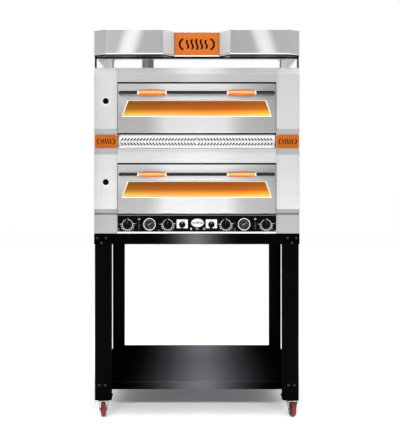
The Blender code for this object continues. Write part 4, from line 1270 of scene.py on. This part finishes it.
def make_lamps():
    for side, sign in SIDES.items():
        x = sign * LAMP_X + LAMP_SHIFT
        for word, z, glow in LAMPS:
            place = (x, PANEL_FACE, z)
            dome = [(0.0, 0), (0.0046, 0), (0.0046, 0.0012), (0.0036, 0.0026), (0.0018, 0.0034),
                    (0.0, 0.0036)]
            lathe(f"lamp_{word}_{side}", dome, place, (0, -1, 0), glow, "oven", 28)
            bm = bmesh.new()
            ring(bm, place, 0.0047, 0.0060, 0.0010, 28)
            piece(f"lamp_{word}_rim_{side}", bm, KNOB, "oven")
        bm = bmesh.new()
        wave(bm, x, PANEL_FACE, 0.8785, 0.0060, 0.0008, 0.0010)
        ring(bm, (x, PANEL_FACE, 0.8535), 0.0026, 0.0033, FILM, 20)
        piece(f"lamp_signs_{side}", bm, FAINT_PRINT, "oven")


def ellipse(x, z, wide, high):
    return [(x + wide * a, z + high * b) for a, b in circle((0, 0), 1.0, 48)]


# Middle of the oval badge as (x, z), and height of the pictograms under it.
OVAL = (0.003, 0.878)
PICTOGRAMS = 0.851


def make_panel_prints():
    face = PANEL_FACE
    x, z = OVAL
    plate("oval_badge", ellipse(x, z, 0.0288, 0.0192), "Y", face - 0.0012, face, WHITE, "oven",
          0.0005)
    bm = bmesh.new()
    outer = ellipse(x, z, 0.0272, 0.0172)
    inner = ellipse(x, z, 0.0264, 0.0164)
    frame_between(bm, outer, inner, face - 0.0013, face - 0.0012)
    # Generic mark: three nested arcs, like a small flame, between two short bars.
    for reach in (0.0030, 0.0068, 0.0106):
        partial_ring(bm, (x, face - 0.0012, z - 0.0065), reach, reach + 0.0024, 25, 155)
    for side in (-1, 1):
        for step in range(2):
            spot = x + side * (0.0155 + 0.0050 * step)
            slab(bm, (spot - 0.0017, face - 0.0014, z - 0.0050), (spot + 0.0017, face - 0.0012, z + 0.0050))
    piece("oval_badge_mark", bm, DARK, "oven")
    # Small pictograms under the badge: a lamp, heat waves and a fan's three blades.
    bm = bmesh.new()
    low = PICTOGRAMS
    prism(bm, [(-0.0300, low - 0.004), (-0.0215, low - 0.004), (-0.0232, low + 0.0045),
               (-0.0283, low + 0.0045)], "Y", face - FILM, face)
    for k in range(3):
        wave(bm, -0.0035 + 0.0045 * k, face, low, 0.0085, 0.0010, 0.0014)
    for k in range(3):
        stroke(bm, (0.0330, face, low), 90 + 120 * k, 0.0012, 0.0050, 0.0034)
    piece("panel_pictograms", bm, PRINT, "oven")


# Stand and casters.

# Height of the bolts that hold the shelf.
SHELF_BOLTS = 0.1440


def make_stand_details():
    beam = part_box("stand_top_frame")
    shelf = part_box("stand_shelf")
    for side, sign in SIDES.items():
        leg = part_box(f"stand_leg_front_{side}")
        face = leg[0].y
        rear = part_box(f"stand_leg_rear_{side}")
        out = max(abs(leg[0].x), abs(leg[1].x))
        # Upper bolts: two in a row and one under them; lower bolts: two in a row.
        upper = [(sign * (HALF - 0.0145), beam[0].y, 0.8105), (sign * (HALF - 0.0540), beam[0].y, 0.8105),
                 (sign * (HALF - 0.0340), beam[0].y if 0.7885 > beam[0].z else face, 0.7885)]
        lower = [(sign * (HALF - inset), face, SHELF_BOLTS) for inset in (0.0235, 0.0500)]
        behind = [(sign * (HALF - inset), y, z) for inset in (0.0200, 0.0450)
                  for y, z in ((beam[1].y, 0.8055), (rear[1].y, SHELF_BOLTS))]
        beside = [(sign * out, back(depth), z) for depth in (0.030, 0.815) for z in (SHELF_BOLTS, 0.760)]
        for name, spots, direction, tall in (
                ("beam_bolts", upper, (0, -1, 0), 0.0030), ("shelf_bolts_front", lower, (0, -1, 0), 0.0028),
                ("rear_bolts", behind, (0, 1, 0), 0.0028), ("side_bolts", beside, (sign, 0, 0), 0.0022)):
            bolts(f"{name}_{side}", spots, direction, 0.0042, tall, GRAPHITE, "oven", 1.3)
    # The rounded fold along the head of the shelf's front lip, with a painted sheen.
    bm = bmesh.new()
    tube(bm, [(x, shelf[0].y - 0.0001, shelf[1].z - 0.0014) for x in (-0.386, 0.386)], 0.0013, 10)
    piece("shelf_front_fold", bm, FOLD, "oven")


def make_caster(end, side):
    """A fork with its ball race and axle, and a wheel with a red tyre, built square and then turned."""
    name = f"{end}_{side}"
    pivot = PIVOTS[f"caster_{name}_swivel"]
    hub_place = PIVOTS[f"wheel_{name}_spin"]
    trail = (hub_place.xy - pivot.xy).length
    yaw = math.atan2(hub_place.x - pivot.x, pivot.y - hub_place.y)
    turn = Matrix.Translation((pivot.x, pivot.y, 0)) @ Matrix.Rotation(yaw, 4, "Z")

    def add(part, bm, look, body, edge=0.0, stands_for=()):
        bm.transform(turn)
        piece(f"caster_{name}_{part}", bm, look, body, edge, stands_for)

    hub = (0, -trail, hub_place.z)
    body = f"caster_{name}"
    wheel = f"wheel_{name}"
    cheek_in = 0.0128
    cheek_out = 0.0154
    top = 0.0722
    flare = 0.0075

    # Fork: one pressed strip, its cheeks tapering down to the axle, joined by the crown.
    bm = bmesh.new()
    cheek = arc((hub[1], hub[2]), 0.0105, 190, 345, 12)
    cheek += [(-0.006, 0.050), (0.0130, 0.0640), (0.0145, top - 0.003), (0.0130, top - 0.0006),
              (-0.031, top - 0.0006), (-0.0335, top - 0.003), (-0.0335, 0.060)]
    for sign in (-1, 1):
        prism(bm, cheek, "X", *sorted((sign * cheek_in, sign * cheek_out)))
    for vert in bm.verts:
        vert.co.x += math.copysign(flare * min(1.0, max(0.0, (vert.co.z - 0.036) / 0.030)), vert.co.x)
    wide = cheek_out + flare
    crown = [*arc((0, 0), wide, 0, 180, 20), (-wide, -0.0335), (wide, -0.0335)]
    prism(bm, crown, "Z", 0.0692, top)
    add("fork", bm, ZINC, body, 0.0006, [f"caster_fork_{name}"])
    bm = bmesh.new()
    race = [(0, top - 0.0008), (0.0165, top - 0.0008), (0.0172, top + 0.0006), (0.0165, top + 0.0022),
            (0.0140, top + 0.0026), (0.0140, top + 0.0040), (0.0125, top + 0.0044), (0.0125, 0.0798),
            (0.0050, 0.0799), (0.0050, 0.0985), (0.0042, 0.0990), (0, 0.0990)]
    turned(bm, race, (0, 0, 0), (0, 0, 1), 40)
    add("race", bm, ZINC, body)
    bm = bmesh.new()
    for z in (0.0905, 0.0945):
        hexagon(bm, (0, 0, z), (0, 0, 1), 0.0085, 0.0038)
    turned(bm, [(0.0052, 0), (0.0110, 0), (0.0110, 0.0008), (0.0052, 0.0008), (0.0052, 0)],
           (0, 0, 0.0902 - 0.0006), (0, 0, 1), 24)
    add("stem_nut", bm, ZINC, body)
    bm = bmesh.new()
    turned(bm, [(0, -cheek_out - 0.0028), (0.0040, -cheek_out - 0.0026), (0.0040, cheek_out + 0.0026),
                (0, cheek_out + 0.0028)], hub, (1, 0, 0), 24)
    hexagon(bm, (cheek_out + 0.0002, hub[1], hub[2]), (1, 0, 0), 0.0066, 0.0026)
    hexagon(bm, (-cheek_out - 0.0002, hub[1], hub[2]), (-1, 0, 0), 0.0066, 0.0026)
    add("axle", bm, GRAPHITE, body)

    # Wheel: crowned tyre on a dark core with a raised hub and spokes.
    radius = hub_place.z
    half = 0.011
    tyre = [(0.0250, -0.0088)]
    tyre += [(radius - 0.0035 + 0.0035 * math.cos(a), -0.0064 - 0.0032 * math.sin(a))
             for a in (math.radians(78 - 13 * k) for k in range(7))]
    tyre.append((radius, -0.0030))
    tyre += [(r, -d) for r, d in reversed(tyre)]
    tyre.append(tyre[0])
    bm = bmesh.new()
    turned(bm, tyre, hub, (1, 0, 0), 72)
    add("tyre", bm, TYRE, wheel, 0, [f"caster_wheel_{name}"])
    core = [(0.0044, -half), (0.0085, -half), (0.0100, -half + 0.0012), (0.0110, -0.0062), (0.0200, -0.0056),
            (0.0220, -0.0080), (0.0249, -0.0086)]
    core += [(r, -d) for r, d in reversed(core)]
    core.append(core[0])
    bm = bmesh.new()
    turned(bm, core, hub, (1, 0, 0), 60)
    for k in range(6):
        angle = math.radians(60 * k)
        spoke = Matrix.Translation(hub) @ Matrix.Rotation(angle, 4, "X")
        start = len(bm.verts)
        slab(bm, (-0.0082, 0.0095, -0.0013), (0.0082, 0.0210, 0.0013))
        bm.verts.ensure_lookup_table()
        bmesh.ops.transform(bm, matrix=spoke, verts=bm.verts[start:])
    add("core", bm, CORE, wheel, 0.0003)


# Chambers.


def make_chamber_details(deck, pivot):
    """Clips on the elements, the vent hole's ring and a lamp glass in the chamber's rear wall."""
    bm = bmesh.new()
    for x in (-0.24, 0.0, 0.24):
        for depth in (0.22, 0.57):
            z = pivot.z + 0.172
            loop = circle((back(depth), z), 0.0052, 20)
            tube(bm, [(x, along, up) for along, up in loop], 0.0008, 8, True)
            slab(bm, (x - 0.0045, back(depth) - 0.0006, z + 0.0050),
                 (x + 0.0045, back(depth) + 0.0006, z + 0.0108))
    piece(f"chamber_{deck}_element_clips", bm, ZINC, "oven")
    centre = (-0.3448, back(0.650), pivot.z + VENT_RISE)
    lathe(f"chamber_{deck}_vent_ring", [(0.0242, 0), (0.0300, 0), (0.0300, 0.0010), (0.0246, 0.0020),
                                        (0.0242, 0)], centre, (1, 0, 0), ZINC, "oven", 40)
    lamp = (0.270, back(0.740), pivot.z + 0.120)
    lathe(f"chamber_{deck}_lamp_ring", [(0.0230, 0), (0.0300, 0), (0.0300, 0.0025), (0.0250, 0.0045),
                                        (0.0230, 0.0045), (0.0230, 0)], lamp, (0, -1, 0), BRIGHT, "oven",
          40)
    dome = [(0.0228 * math.cos(a), 0.0035 + 0.0100 * math.sin(a))
            for a in (math.radians(15 * k) for k in range(6))]
    lathe(f"chamber_{deck}_lamp_glass", [(0, 0), (0.0228, 0), *dome, (0, 0.0135)], lamp, (0, -1, 0), LENS,
          "oven", 40)


def build():
    dress_frame()
    make_hood()
    make_flues()
    make_vent_band()
    make_badges()
    make_seals()
    make_body_details()
    for deck, pivot in HINGE.items():
        make_door(deck, pivot)
        make_vent_pull(deck, pivot)
        make_chamber_details(deck, pivot)
    for count in range(1, 5):
        make_thermostat(count)
    for side in SIDES:
        make_switch(side)
        make_thermometer(side)
    make_lamps()
    make_panel_prints()
    make_stand_details()
    for end in ENDS:
        for side in SIDES:
            make_caster(end, side)


build()

# Floor, light and camera.


def make_stage():
    bm = bmesh.new()
    slab(bm, (-12, -12, -0.02), (12, 12, 0.0))
    mesh = bpy.data.meshes.new("floor")
    bm.to_mesh(mesh)
    bm.free()
    mesh.materials.append(finish("floor_paint", grey(0.985), grey(0.995), (3, 3, 3), (0.5, 0.6), 0.0, 0.0,
                                 Emission_Color=(1, 1, 1, 1), Emission_Strength=0.03))
    floor = bpy.data.objects.new("floor", mesh)
    bpy.context.collection.objects.link(floor)
    return floor


def area_light(name, place, target, size, power, glossy=True):
    data = bpy.data.lights.new(name, "AREA")
    data.shape = "RECTANGLE"
    data.size = size[0]
    data.size_y = size[1]
    data.energy = power
    obj = bpy.data.objects.new(name, data)
    obj.location = place
    obj.rotation_euler = (Vector(target) - Vector(place)).to_track_quat("-Z", "Y").to_euler()
    obj.visible_camera = False
    obj.visible_glossy = glossy
    bpy.context.collection.objects.link(obj)
    return obj


# How much darker reflections find the studio overhead and at its sides.
OVERHEAD_DIM = 0.38
ASIDE_DIM = 0.16


def make_light(floor):
    """A white studio: white to the camera, and for reflections darker overhead and a little at the sides."""
    world = bpy.data.worlds.new("studio")
    world.use_nodes = True
    tree = world.node_tree
    background = tree.nodes["Background"]
    place = tree.nodes.new("ShaderNodeTexCoord")
    split = tree.nodes.new("ShaderNodeSeparateXYZ")
    tree.links.new(place.outputs["Generated"], split.inputs["Vector"])
    height = compute(tree, "MAXIMUM", split.outputs["Z"], 0.0)
    aside = compute(tree, "ABSOLUTE", split.outputs["X"], 0.0)
    dimmed = compute(tree, "SUBTRACT", 1.0, compute(tree, "MULTIPLY", height, OVERHEAD_DIM))
    dimmed = compute(tree, "SUBTRACT", dimmed, compute(tree, "MULTIPLY", aside, ASIDE_DIM))
    rays = tree.nodes.new("ShaderNodeLightPath")
    tree.links.new(mix(tree, rays.outputs["Is Glossy Ray"], (1, 1, 1), dimmed), background.inputs["Color"])
    background.inputs["Strength"].default_value = 1.0
    bpy.context.scene.world = world
    area_light("overhead", (0.0, -0.6, 4.6), target=(0, 0, 0), size=(6.0, 6.0), power=50)
    area_light("soft_front", (-1.6, -4.2, 2.9), target=(0, 0, 0.9), size=(1.6, 1.6), power=5)
    # One low lamp for the floor alone, which reaches a little way in under the shelf.
    lamp = area_light("floor_lamp", (0.0, -5.45, 2.72), target=(0, -0.3, 0.0), size=(6.0, 0.35), power=420,
                      glossy=False)
    lit = bpy.data.collections.new("floor_only")
    lit.objects.link(floor)
    lamp.light_linking.receiver_collection = lit


def make_camera():
    distance = 3.70
    horizon = 1.0586
    data = bpy.data.cameras.new("camera")
    data.lens = 69.3
    data.shift_x = 0.0075
    data.shift_y = -0.0694
    camera = bpy.data.objects.new("camera", data)
    camera.location = (0, FRONT - distance, horizon)
    camera.rotation_euler = (math.pi / 2, 0, 0)
    bpy.context.collection.objects.link(camera)
    bpy.context.scene.camera = camera
    bpy.context.scene.view_settings.view_transform = "Standard"


make_light(make_stage())
make_camera()
